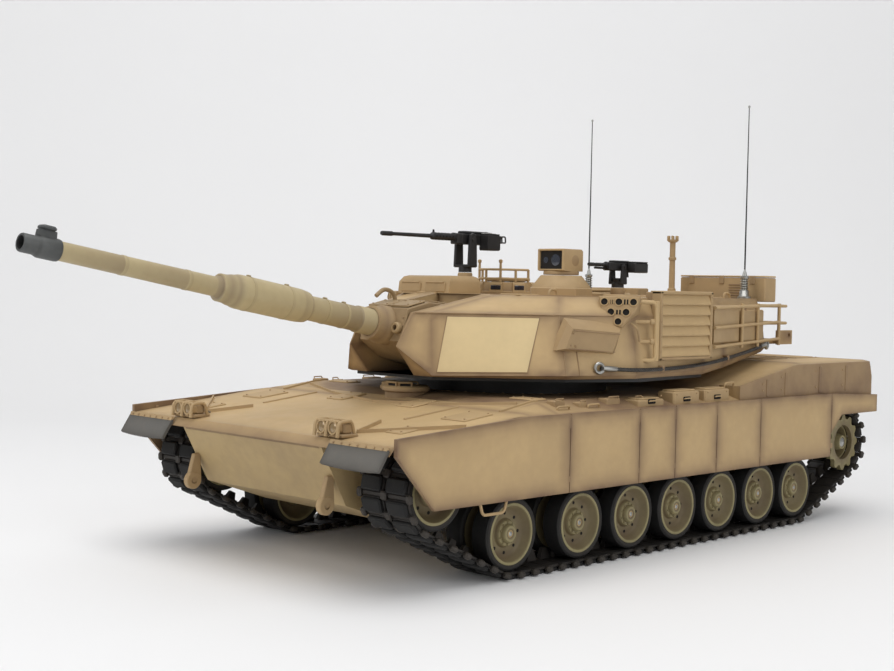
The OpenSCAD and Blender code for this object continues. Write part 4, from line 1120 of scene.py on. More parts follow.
def build_turret_shell():
    """The shell lofted through four outlines, from the lower edge to the roof, with cheek panels,
    welds and covers set on its faces."""
    half = Form()
    levels = np.array([[(x, 0, z) for x, y, z in LOW], LOW, MIDDLE, BROW, ROOF, [(x, 0, z) for x, y, z in ROOF]],
                      float)
    # Painted shade: each face darkens towards its edges, and the dark values by level give the lower walls more of the
    # shade colour and the roof the least, as light falls from above
    add_loft(half, levels, (4, 8, 3, 5, 16, 10, 12, 5, 10, 10), (6, 4, 8, 5, 10), 0, 5.0,
             dark=(0.9, 1.0, 0.8, 0.7, 0.55))
    half_form = Form().join(half, at_turret)
    shell = Form().join(half_form).join(half_form.mirrored())
    piece("turret_shell_skin", shell, ["paint", "void"], "turret", ["turret_shell"], merge=0.02, sharp=14)
    d, dd = Form(), Form()
    # Large flat panel on each cheek with a fine border, and the duller strip ahead of it
    def on_cheek(u0, u1, v0, v1, lift, material, target, shade=0.0, reach=2.0):
        normal = np.cross(cheek_point(1, 0.5) - cheek_point(0, 0.5), cheek_point(0.5, 1) - cheek_point(0.5, 0))
        normal /= np.linalg.norm(normal)
        normal *= 1 if normal[0] > 0 else -1
        t = np.linspace(0, 1, 14)
        top = np.array([cheek_point(u0[1] + (u1[1] - u0[1]) * k, v1) for k in t]) + normal * lift
        bottom = np.array([cheek_point(u0[0] + (u1[0] - u0[0]) * k, v0) for k in t]) + normal * lift
        add_panel(target, top, bottom, -normal * (lift + 0.3), 8, material, reach, shade)
    on_cheek((0.03, 0.12), (0.715, 0.85), 0.045, 0.955, 0.3, 1, dd, 0.9, 1.0)
    on_cheek((0.037, 0.127), (0.708, 0.843), 0.058, 0.943, 0.42, 0, dd, 0.25, 3.0)
    cheeks = Form().join(dd, at_turret)
    piece("cheek_panels", Form().join(cheeks).join(cheeks.mirrored()), ["panel", "paint"], "turret", sharp=30)
    # Weld seams and fittings on the roof and along the sides
    def weld(a, b, target=d):
        steps = max(2, int(np.linalg.norm(np.array(b) - a) / 3))
        add_tube(target, np.linspace(a, b, steps + 1), 0.35, 6, 0, 0.7)
    for a, b in (((44, 24, 150.1), (30, 66, 150.1)), ((30, 66, 150.1), (2, 94, 150.1)),
                 ((-72, 93.6, 150.1), (-168, 73.6, 150.1)), ((105, 23, 139.1), (46.4, 80, 139.1)),
                 ((46.2, 80, 139.1), (5.2, 100, 139.1)), ((51, 91, 105.2), (46, 80, 139)),
                 ((42.5, 94, 105.2), (39.5, 83.2, 139))):
        weld(a, b)
    # Lifting eyes, antenna feet, hinged stowage lids and blow-off plates behind the hatches
    for x, y in ((26, 58), (-60, 84), (-150, 62)):
        add_tube(d, rounded_path([(x - 3.5, y, 149.5), (x - 3.2, y, 153.6), (x + 3.2, y, 153.6), (x + 3.5, y, 149.5)],
                                 2.2, 6), 0.8, 8, 0, 0.3)
    add_block(d, (-150, 4, 149.6), (-96, 62, 150.9), 0.8, 0, 0.4)
    bolts(d, [(x, y, 150.9) for x in (-147, -123, -99) for y in (7, 33, 59)], (0, 0, 1), 0.7, 0.6, 0, 0.5)
    add_block(d, (-90, 62, 149.6), (-74, 86, 151.2), 0.6, 0, 0.4)
    add_block(d, (22, 28, 149.6), (40, 44, 150.8), 0.6, 0, 0.3)
    add_block(d, (-24, 68, 149.6), (-8, 84, 151.6), 0.7, 0, 0.35)
    piece_form = Form().join(d, at_turret)
    rear = Form()
    # Rear wall: stiffening ribs
    for y in (20, 45, 68):
        add_block(rear, (-173.4, y - 1.5, 117), (-171.5, y + 1.5, 146), 0.5, 0, 0.5)
    piece_form.join(rear, at_turret)
    piece("turret_details", both(piece_form), ["paint"], "turret", sharp=38)


CABLE = [[30, 98.4, 109.5], [6, 106.7, 108.3], [-35, 103.4, 108.3], [-80, 99.6, 110.5], [-125, 92.4, 115],
         [-168, 82.6, 119.5]]


def smooth_line(corners, steps=12):
    """A curve through points, each stretch a cubic that meets its neighbours in line."""
    p = np.asarray(corners, float)
    q = np.concatenate([[2 * p[0] - p[1]], p, [2 * p[-1] - p[-2]]])
    t = np.linspace(0, 1, steps, endpoint=False)[:, None]
    out = []
    for a, b, c, d in zip(q[:-3], q[1:-2], q[2:-1], q[3:]):
        out.append(0.5 * (2 * b + (c - a) * t + (2 * a - 5 * b + 4 * c - d) * t ** 2
                          + (3 * b - a - 3 * c + d) * t ** 3))
    return np.concatenate(out + [p[-1:]])


def build_cables():
    """Six strands round one smooth line: line + r (cos t side + sin t up), where t is one turn in
    14 mm, each strand a sixth of a turn on. The ends have ring eyes and turned ferrules."""
    form = Form()
    line = at_turret(smooth_line(CABLE, 14))
    length = np.concatenate([[0], np.cumsum(np.linalg.norm(np.diff(line, axis=0), axis=1))])
    fine = np.linspace(0, length[-1], 260)
    core = np.stack([np.interp(fine, length, line[:, k]) for k in range(3)], 1)
    ahead = np.gradient(core, axis=0)
    ahead /= np.linalg.norm(ahead, axis=1)[:, None]
    side = np.cross(ahead, (0, 0, 1.0))
    side /= np.linalg.norm(side, axis=1)[:, None]
    up = np.cross(side, ahead)
    for k in range(6):
        turn = (2 * math.pi * (fine / 14 + k / 6))[:, None]
        add_tube(form, core + 0.78 * (np.cos(turn) * side + np.sin(turn) * up), 0.46, 5, 0, 0.35)
    for end, other in ((0, 6), (-1, -7)):
        out = (core[end] - core[other]) / np.linalg.norm(core[end] - core[other])
        centre = core[end] + out * 0.8
        ring = [centre + 2.7 * (math.cos(a) * out + math.sin(a) * np.array([0, 0, 1.0]))
                for a in np.linspace(0, 2 * math.pi, 20, endpoint=False)]
        add_tube(form, ring, 0.95, 8, 1, 0.2, True)
        add_lathe(form, [(0, 1.5), (4, 1.7), (9, 1.45), (9.5, 1.2)], core[end] - out * 1.5, -out, 14, 1, 0.3)
    for x, y, z in ((-20, 104.6, 108.4), (-100, 96.6, 112.6)):
        add_block(form, (TURRET_X + x - 1.2, y - 5, z - 1.7), (TURRET_X + x + 1.2, y + 1.5, z + 1.7), 0.5, 2, 0.8)
    piece("tow_cable_runs", both(form), ["cable", "steel", "paint"], "turret", ["tow_cables"], sharp=40)


def build_racks():
    """Louvre boxes from extruded slats, hoops and rails as bent tubes, and the basket behind."""
    d = Form()
    rack_y = lambda x: 104 + (x + 72) * 24 / 110
    # Louvre box: frame, six overlapping slats and a top lip
    add_block(d, (-71.2, 92, 113.6), (-18.9, 101.5, 153.5), 0.6, 0, 0.8)
    for x in (-72, -20.4):
        add_block(d, (x, 97.5, 113), (x + 2.4, 104.4, 154.2), 0.5, 0, 0.4)
    add_block(d, (-72, 97.5, 152.2), (-18, 104.4, 154.3), 0.5, 0, 0.3)
    add_block(d, (-72, 97.5, 113), (-18, 104.4, 114.8), 0.5, 0, 0.5)
    for k in range(6):
        z = 115.0 + 6.2 * k
        add_prism(d, [(101.2, z + 0.6), (103.9, z), (104.3, z + 0.8), (102.4, z + 6.8), (101.2, z + 6.8)], -69.8, -20.2,
                  "x", 0.2, 0, 0.1)
    bolts(d, [(x, 104.4, z) for x in (-70.8, -19.2) for z in (118, 127, 136, 145, 151)], (0, 1, 0), 0.5, 0.2, 0, 0.5)
    # Hoop ahead of it, with two hooks
    hoop = rounded_path([(4, 97, 113.6), (-9, 107.5, 113.4), (-9, 107.5, 147.4), (4, 94, 147.4)], 3, 6)
    add_tube(d, hoop, 1.3, 10, 0, 0.0)
    add_prism(d, [(-11.2, 106.9), (-8.2, 106.9), (-8.2, 108.4), (-11.2, 108.4)], 113.0, 148.2, "z", 0.4, 0, 0.0)
    for z in (124.5, 136.0):
        add_tube(d, [(2, 98, z), (-3, 102.4, z), (-9, 107.5, z)], 1.1, 8, 0, 0.1)
        add_lathe(d, [(-1.4, 1.0), (-1, 1.8), (1, 1.8), (1.4, 1.0)], (-7.4, 106.1, z), (-0.76, 0.65, 0), 12, 0, 0.2)
    # Rails, tube ends and posts along the side
    rear = -192
    # Straps of the box and brackets that hold it to the side
    for x in (-64, -28):
        add_block(d, (x - 1.5, 90, 153.2), (x + 1.5, 100, 154.2), 0.3, 0, 0.5)
    rails = [((-76, 120), (-122, 121.2), (rear, 123)), ((-76, 132), (-122, 133), (rear, 134.5)),
             ((-76, 144.5), (-122, 145.2), (rear, 146))]
    for rail in rails:
        path = [(x, rack_y(x), z) for x, z in rail]
        path = np.concatenate([np.linspace(path[0], path[1], 8), np.linspace(path[1], path[2], 8)[1:]])
        add_tube(d, path, 1.05, 10, 0, 0.15)
    for x in (-122, -150, rear + 1.2):
        y = rack_y(x)
        add_tube(d, [(x, y - 0.1, 118.6), (x, y - 0.1, 133), (x, y - 0.1, 147.2)], 1.15, 10, 0, 0.2)
        add_tube(d, [(x, y, 121), (x, min(y - 4, 88), 121)], 0.9, 8, 0, 0.5)
    # Stowage boxes that stand behind the rails
    add_prism(d, [(-120, 86.5), (-78, 95.5), (-78, 101.2), (-120, 92.0)], 122, 146, "z", 0.8, 0, 0.35)
    add_prism(d, [(-164, 77.5), (-124, 86), (-124, 91.0), (-164, 82.4)], 122, 143, "z", 0.8, 0, 0.35)
    for x in (-112, -86, -154, -132):
        add_block(d, (x - 1.1, rack_y(x) - 3.4, 138), (x + 1.1, rack_y(x) - 1.9, 145), 0.3, 0, 0.8)
    side = Form().join(d, at_turret)
    both_racks = both(side)
    # Basket behind the turret: floor slats, hoops and rails right across
    b = Form()
    for z in (121, 133.5, 145.4):
        path = rounded_path([(-172, -73, z), (-214.8, -72, z), (-214.8, 72, z), (-172, 73, z)], 9, 8)
        add_tube(b, path, 1.05, 10, 0, 0.15)
    for y in np.linspace(-63, 63, 7):
        add_tube(b, [(-214.8, y, 120.2), (-214.8, y, 133), (-214.8, y, 146)], 0.95, 8, 0, 0.25)
    for x in np.linspace(-210, -177, 7):
        add_block(b, (x - 1.3, -72, 119.2), (x + 1.3, 72, 120.6), 0.4, 0, 0.4)
    for y in (-60, -20, 20, 60):
        add_block(b, (-214, y - 1.5, 118.4), (-172, y + 1.5, 119.6), 0.4, 0, 0.5)
    # End plates of the basket with their round holes
    for sign in (1, -1):
        y = sign * 73.2
        a = np.linspace(0, 2 * math.pi, 32, endpoint=False)
        u, v = np.cos(a), np.sin(a)
        square = 1 / np.maximum(abs(u), abs(v))
        outer = np.stack([-205.5 + 9.5 * square * u, 123.6 + 4.9 * square * v], 1)
        inner = np.stack([-211.2 + 1.3 * u, 125.2 + 1.3 * v], 1)
        ring = lambda flat, yy: np.stack([flat[:, 0], np.full(32, yy), flat[:, 1]], 1)
        rings = np.array([ring(inner, y - 0.8), ring(outer, y - 0.8), ring(outer, y + 0.8), ring(inner, y + 0.8)])
        faces = [list(f % 128) for f in grid_faces(5, 32, True)]
        b.add(rings, faces, 0, np.repeat([0.9, 0.3, 0.3, 0.9], 32))
    both_racks.join(b, at_turret)
    piece("racks_and_basket", both_racks, ["paint"], "turret", ["turret_racks"], sharp=38)


def tilted(origin, turn_z=0.0, turn_y=0.0, turn_x=0.0):
    """A move that turns points about x, y and z in degrees, then sets them down at an origin."""
    m = (Matrix.Rotation(math.radians(turn_z), 3, "Z") @ Matrix.Rotation(math.radians(turn_y), 3, "Y")
         @ Matrix.Rotation(math.radians(turn_x), 3, "X"))
    m = np.array(m)
    return lambda p: p @ m.T + np.asarray(origin, float)


def build_fittings():
    """Sight housing, rings, pedestals, mast, boxes and launchers, each block or turned profile
    placed by a turn and a shift."""
    d = Form()
    # Gunner's sight housing: sloped sides, sloped lid, two doors with hinges
    box = lambda x0, x1, y0, y1, z: [(x0, y0, z), (x1, y0, z), (x1, y1, z), (x0, y1, z)]
    add_rings(d, [box(8, 37, -64, -18, 149.6), box(8, 36, -64, -18, 157.0), box(9, 34, -62, -20, 160.2),
                  box(11, 31, -60, -22, 161.1)], 0, 0.35)
    for y0, y1 in ((-61, -43), (-39, -21)):
        add_block(d, (36.0, y0, 150.6), (37.3, y1, 156.6), 0.5, 0, 0.35)
        add_tube(d, [(37.2, y0 + 1, 156.8), (37.2, y1 - 1, 156.8)], 0.55, 8, 0, 0.4)
    bolts(d, [(x, y, 159.6) for x in (12, 22, 31) for y in (-61, -21)], (0, 0, 1), 0.6, 0.9, 0, 0.4)
    # Commander's ring: base, periscope blocks with glass, upright posts
    add_lathe(d, [(149.6, 14), (149.6, 21), (151.6, 21), (152.2, 19.6), (157.6, 18.6), (158, 17.6), (158, 14)],
              (-38, -38, 0), (0, 0, 1), 56, 0, [.8, .9, .4, .8, .3, .1, .4], True)
    for k in range(8):
        a = 360 / 8 * (k + 0.5)
        place = tilted((-38, -38, 0), a)
        add_rings(d, place(np.array([box(13.6, 20.6, -4.6, 4.6, 151), box(13.6, 20.0, -4.3, 4.3, 156.6),
                                     box(13.8, 18.0, -3.8, 3.8, 158.2)])), 0, 0.35)
        add_block(d, (19.4, -3.5, 152.8), (20.7, 3.5, 155.8), 0.3, 1, 0.0, place)
    # Low shield of flat bars in front of the ring, with two taller posts
    ring_at = lambda deg, r, zz: (-38 + r * math.cos(math.radians(deg)), -38 + r * math.sin(math.radians(deg)), zz)
    for zz in (160.2, 166.2):
        add_tube(d, [ring_at(t, 18.2, zz) for t in np.linspace(-75, 95, 24)], 0.75, 8, 0, 0.2)
    for t in (-75, -40, -5, 30, 62, 95):
        add_tube(d, [ring_at(t, 18.2, 156.5), ring_at(t, 18.2, 161), ring_at(t, 18.2, 166.4)], 0.85, 8, 0, 0.3)
    for t in (30, -40):
        add_lathe(d, [(166, 0.9), (170.5, 0.8), (170.9, 1.3), (172.4, 1.3), (172.9, 0.5)],
                  (*ring_at(t, 18.2, 0)[:2], 0), (0, 0, 1), 12, 0, 0.3)
    # Loader's ring with its race and bolts
    add_lathe(d, [(149.6, 12.6), (149.6, 17.6), (151.6, 17.2), (152.5, 16.2), (152.5, 12.6)], (-48, 37, 0), (0, 0, 1),
              48, 0, [.8, .9, .4, .1, .5], True)
    bolts(d, [(-48 + 15.2 * math.cos(a), 37 + 15.2 * math.sin(a), 152.4) for a in np.linspace(0, 6.283, 12, False)],
          (0, 0, 1), 0.5, 0.4, 0, 0.5)
    # Pedestals of the two machine guns and of the turning sight
    add_lathe(d, [(149.6, 7.2), (151.2, 7.0), (152, 5.2), (162.4, 4.8), (163.5, 4.4), (163.5, 0.3)], (5, -35, 0),
              (0, 0, 1), 32, 0, [.9, .5, .9, .3, .2, .2])
    add_lathe(d, [(149.6, 5.6), (150.8, 5.4), (151.4, 4.5), (155.5, 4.3), (155.5, 0.3)], (-33, 60, 0), (0, 0, 1), 28, 0,
              [.9, .5, .9, .3, .2])
    start = math.pi / 8
    def octagon(r, z):
        flat = circle(r, 8, (0, 42), start)
        return np.concatenate([flat, np.full((8, 1), z)], 1)
    add_rings(d, [octagon(20, 149.6), octagon(20, 154.4), octagon(19.2, 155.0)], 0, 0.4)
    add_rings(d, [octagon(19.0, 154.6), octagon(18.6, 156.0), octagon(13.6, 161.8), octagon(13.0, 162.38)], 0, 0.35)
    bolts(d, [(17.2 * math.cos(a), 42 + 17.2 * math.sin(a), 155) for a in np.linspace(0, 6.283, 16, False)],
          (0, 0, 1), 0.3, 0.2, 0, 0.5)
    # Wind sensor mast: stepped stem, head and arm
    add_lathe(d, [(149.6, 3.9), (152.6, 3.9), (153, 3.0), (156, 2.8), (156.4, 2.2), (176, 2.0), (176.4, 2.7),
                  (178, 2.7), (178.4, 2.0), (188.6, 2.0), (189, 3.2), (190.6, 3.6), (190.9, 0.3)], (-159, 10, 0),
              (0, 0, 1), 20, 0, 0.35)
    for turn in (30, 120, 210, 300):
        add_block(d, (1.8, -0.8, 189.6), (4.0, 0.8, 193.4), 0.3, 0, 0.3, tilted((-159, 10, 0), turn))
    add_lathe(d, [(190, 1.1), (193.2, 0.9), (193.4, 0.3)], (-159, 10, 0), (0, 0, 1), 12, 0, 0.4)
    # Equipment box behind the roof: walls, lid, latches and a vent with its slats
    add_block(d, (-186, 8, 148.2), (-172, 78, 164.6), 0.7, 0, 0.4)
    add_block(d, (-186, 8, 164.9), (-171.8, 78, 166), 0.5, 0, 0.2)
    for y in (18, 43, 68):
        add_block(d, (-172.2, y - 2, 160), (-171.2, y + 2, 166), 0.4, 0, 0.7)
    for k in range(6):
        add_block(d, (-172.3, 49, 150.2 + 1.8 * k), (-171.4, 64, 151.1 + 1.8 * k), 0.2, 0, 0.9)
    # A second low box on the right
    add_block(d, (-186, -74, 148.2), (-172, -30, 156.0), 0.7, 0, 0.4)
    piece("roof_fittings", Form().join(d, at_turret), ["paint", "glass", "tool"], "turret", ["turret_fittings"],
          sharp=36)
    # Smoke launchers: a plate, six short tubes whose dark mouths are discs of painted shadow, and spare caps between
    # them, each a dark block of painted shadow under three ribs
    g = Form()
    move = tilted((5, 92, 141), 32, -12)
    a = Form()
    shield = np.array([[-15, 9], [-13, -1], [-3, -14], [3, -14], [13, -1], [15, 9]], float)
    add_prism(a, shield, -10, 8.8, "x", 0.8, 0, 0.45)
    for u, v in ((-10.5, 4.5), (0, 4.5), (10.5, 4.5), (-5.5, -3.0), (5.5, -3.0), (0, -10.0)):
        add_lathe(a, [(8.2, 3.1), (9.9, 3.0), (9.95, 2.5), (8.7, 2.45), (8.6, 0.3)], (0, u, v), (1, 0, 0), 22, 0,
                  [.7, 0, .2, 1, 1])
        add_lathe(a, [(8.5, 2.42), (8.9, 2.42), (8.95, 0.3)], (0, u, v), (1, 0, 0), 22, 1, 1)
    for u, v, w, h in ((-5.2, 4.6, 2.6, 3.6), (5.2, 4.6, 4.0, 4.0), (0, -3.0, 4.2, 3.6)):
        add_block(a, (8.2, u - w / 2, v - h / 2), (9.0, u + w / 2, v + h / 2), 0.3, 1, 1)
        for k in (-1, 0, 1):
            add_block(a, (8.6, u + k * w / 2 - 0.35, v - h / 2), (9.5, u + k * w / 2 + 0.35, v + h / 2), 0.2, 0, 0.2)
    add_tube(a, rounded_path([(4, 9, -10), (6, 14, -14), (-2, 15, -22)], 3), 0.8, 8, 0, 0.5)
    g.join(a, lambda p: move(p * 0.8 + np.array([2.6, 0, 0.8])))
    # Armour cover on the flank: bevelled ends, straps and bolts
    cover = Form()
    add_rings(cover, [[(-2, 0, -1), (40, 0, -1), (40, 0, 17), (4, 0, 18)],
                      [(-2, 6.0, 0), (38, 6.0, -0.5), (40, 5.0, 15), (4, 5.0, 16)],
                      [(2.0, 9.4, 1.8), (34, 9.4, 1.0), (38, 8.0, 12.6), (6.0, 8.2, 13.4)]], 0, 0.45)
    for x0, z0, x1, z1 in ((4.2, 1.9, 36.0, 1.4), (6.0, 12.6, 37.5, 11.8)):
        add_tube(cover, [(x0, 9.5, z0), ((x0 + x1) / 2, 9.3, (z0 + z1) / 2), (x1, 9.0, z1)], 0.35, 6, 0, 0.8)
    bolts(cover, [(5.6, 9.0, 4.0), (6.4, 8.9, 11.0), (8.6, 9.4, 3.6)], (0, 1, 0), 0.7, 0.5, 0, 0.6)
    place = tilted((16, 91, 118.5), 0, 0, -9)
    def on_flank(p):
        q = p.copy()
        q[:, 0] = 36 - p[:, 0]
        q = q @ np.array(Matrix.Rotation(math.radians(-18), 3, "Z")).T
        return place(q)
    g.join(cover, on_flank)
    piece("launchers_and_covers", both(Form().join(g, at_turret)), ["paint", "void"], "turret", sharp=36)


def build_antennas():
    """A turned base whose spring is a radius waving by a cosine of height, and a whip that thins
    evenly upward to a small knob."""
    form = Form()
    top = WHIP_TOP - 1.4
    coil = [(z, 2.4 + 0.45 * math.cos(2 * math.pi * (z - 156) / 1.6)) for z in np.arange(156, 164.01, 0.2)]
    for y in (-68, 68):
        base = [(150, 4.6), (151.6, 4.6), (152.2, 3.4), (155.4, 3.2), (155.8, 2.6)] + coil + [
            (164.4, 2.9), (165.4, 2.9), (165.8, 1.6), (168, 1.2), (169, 0.75), (170, 0.62)]
        add_lathe(form, base, (TURRET_X - 162, y, 0), (0, 0, 1), 24, 0, 0.2)
        z = np.linspace(169.5, top, 24)
        path = np.stack([np.full(24, TURRET_X - 162.0), np.full(24, float(y)), z], 1)
        add_tube(form, path, np.linspace(0.58, 0.3, 24), 8, 1, 0.2)
        add_lathe(form, [(top - 0.6, 0.3), (top, 0.7), (top + 0.8, 0.85), (top + 1.4, 0.5)],
                  (TURRET_X - 162, y, 0), (0, 0, 1), 12, 0, 0.2)
    piece("whip_antennas", form, ["steel", "gunmetal"], "turret", ["antennas"], sharp=60)


# ---- Gun ----

def at_gun(p):
    """From the gun's own lengths, along the bore from the trunnion, to the model's."""
    x = GUN_AXIS if GUN_AXIS[0] > 0 else -GUN_AXIS
    up = np.cross(x, (0, 1, 0))
    up = up if up[2] > 0 else -up
    p = np.asarray(p, float)
    return TRUNNION + p[..., :1] * x + p[..., 1:2] * np.array([0, 1.0, 0]) + p[..., 2:3] * up


def build_mantlet():
    """A half circle joined to a wedge outline, extruded across, with plates on its slopes."""
    d = Form()
    a = np.linspace(math.pi / 2, 3 * math.pi / 2, 22)
    drum = np.stack([18.6 * np.cos(a), 18.6 * np.sin(a)], 1)
    front = np.array([[22, -17], [39, -9], [39, 10], [22, 17]], float)
    outline = np.concatenate([drum, [[0, -18.8]], front, [[0, 18.8]]])
    add_prism(d, outline, -18.4, 18.4, "y", 0.7, 0, 0.45)
    # Bolted cover plates on the slopes and their bolts
    for points in (((4, 18.3), (20, 17.2)), ((24, 16.4), (37, 11.2))):
        (x0, z0), (x1, z1) = points
        u = np.array([x1 - x0, z1 - z0]) / np.hypot(x1 - x0, z1 - z0)
        n = np.array([-u[1], u[0]])
        plate = np.array([(x0, z0), (x1, z1), (x1 + n[0] * 1.0, z1 + n[1] * 1.0), (x0 + n[0] * 1.0, z0 + n[1] * 1.0)])
        for y0, y1 in ((-17, -0.8), (0.8, 17)):
            add_prism(d, plate, y0, y1, "y", 0.4, 0, 0.3)
            bolts(d, [(x0 + (x1 - x0) * t + n[0], y, z0 + (z1 - z0) * t + n[1]) for t in (0.15, 0.85)
                      for y in (y0 + 2, y1 - 2)], (n[0], 0, n[1]), 0.6, 0.5, 0, 0.5)
    # Sleeve round the barrel's root, machine-gun port with a disc of painted shadow in its mouth, and a small curved
    # tube
    add_lathe(d, [(36, 8.05), (36, 11.6), (42, 11.2), (44, 10.0), (49.5, 9.6), (50, 8.05)], (0, 0, 0), (1, 0, 0), 40, 0,
              [1, .8, .3, .8, .2, .6], True)
    add_lathe(d, [(30, 0.4), (30, 3.6), (41.5, 3.3), (42.3, 2.7), (42.3, 1.7), (38, 1.6), (38, 0.3)], (0, 13.6, -1.5),
              (1, 0, 0), 24, 0, [1, 1, .2, .1, .3, 1, 1])
    add_lathe(d, [(37.9, 0.2), (37.9, 1.65), (38.4, 1.4), (38.5, 0.2)], (0, 13.6, -1.5), (1, 0, 0), 16, 1, 1)
    add_tube(d, rounded_path([(22, -10, 15), (25, -10, 21.5), (33, -10, 22.5), (38.5, -10, 17)], 3.5, 7), 1.3, 10, 0,
             0.3)
    for z in (-5, 0, 5):
        bolts(d, [(39, y, z) for y in (-16.5, 16.5)], (1, 0, 0), 0.7, 0.7, 0, 0.5)
    form = Form().join(d, at_gun)
    piece("mantlet_armour", form, ["mantlet", "void"], "gun_mantlet", ["gun_mantlet"], sharp=30)


def build_barrel():
    """One profile of radius against distance, turned about the gun's axis."""
    d = Form()
    profile = [(2, 3.2), (2, 7.7), (60, 7.7), (60.4, 7.5), (61, 7.1), (96, 6.85), (98, 6.95), (98.6, 8.5), (99.6, 8.7),
               (104, 9.15), (105.5, 9.2), (123, 9.2), (144, 9.15), (146, 9.0), (148, 8.4), (150, 8.2), (153, 7.5),
               (157, 7.35), (157.6, 6.0), (160, 5.3), (161, 5.2), (176, 5.12), (176.3, 5.3), (178.3, 5.3), (178.6, 5.08),
               (214, 4.85), (214.3, 5.05), (216.3, 5.05), (216.6, 4.83), (251, 4.7)]
    shade = [1, 1, .2, .9, .8, .1, .6, .9, .2, .5, .1, 0, 0, .2, .6, .3, .6, .1, .9, .6, .2, 0, .3, .1, .6, 0, .3, .1,
             .6, .1]
    add_lathe(d, profile + [(251, 3.2)], (0, 0, 0), (1, 0, 0), 56, 0, shade + [1], True)
    # Thin straps with screws over the insulating sleeve's joints
    for x in (70, 84, 112, 138):
        r = float(np.interp(x, [61, 96, 104, 146], [7.1, 6.85, 9.15, 9.1]))
        add_lathe(d, [(x, r - 0.2), (x, r + 0.22), (x + 1.6, r + 0.22), (x + 1.6, r - 0.2)], (0, 0, 0),
                  (1, 0, 0), 48, 0,
                  [.8, .2, .2, .8], True)
        add_block(d, (x - 0.4, -1.0, r), (x + 2.0, 1.0, r + 0.9), 0.3, 0, 0.4)
    # Muzzle collar and its reference bracket
    add_lathe(d, [(250.8, 3.2), (250.8, 5.3), (252, 5.5), (261, 5.5), (262, 5.1), (263, 4.75), (263.4, 4.6),
                  (269.6, 4.6), (270.2, 4.3), (270.2, 3.3), (266, 3.2)], (0, 0, 0), (1, 0, 0), 48, 1,
              [1, .6, .2, 0, .5, .5, .2, 0, .1, .6, 1], True)
    # A disc of painted shadow inside the muzzle, for the dark bore
    add_lathe(d, [(265, 0.3), (265, 3.25), (265.5, 3.2), (265.6, 0.3)], (0, 0, 0), (1, 0, 0), 32, 2, 1)
    high = extent("gun_barrel")[1]
    top = (high - at_gun(np.array([257.0, 0, 0])))[2] * 0.98
    add_prism(d, [(-2.6, 4.6), (2.6, 4.6), (2.2, 8.2), (-2.2, 8.2)], 253.2, 262.4, "x", 0.5, 1, 0.3)
    add_block(d, (254.2, -3.3, 8.0), (261.6, 3.3, min(top, 10.4)), 0.8, 1, 0.15)
    form = Form().join(d, at_gun)
    piece("gun_barrel_tube", form, ["barrel", "muzzle", "void"], "gun_barrel", ["gun_barrel"], sharp=32)


# ---- Hatches, guns on the roof and the turning sight ----

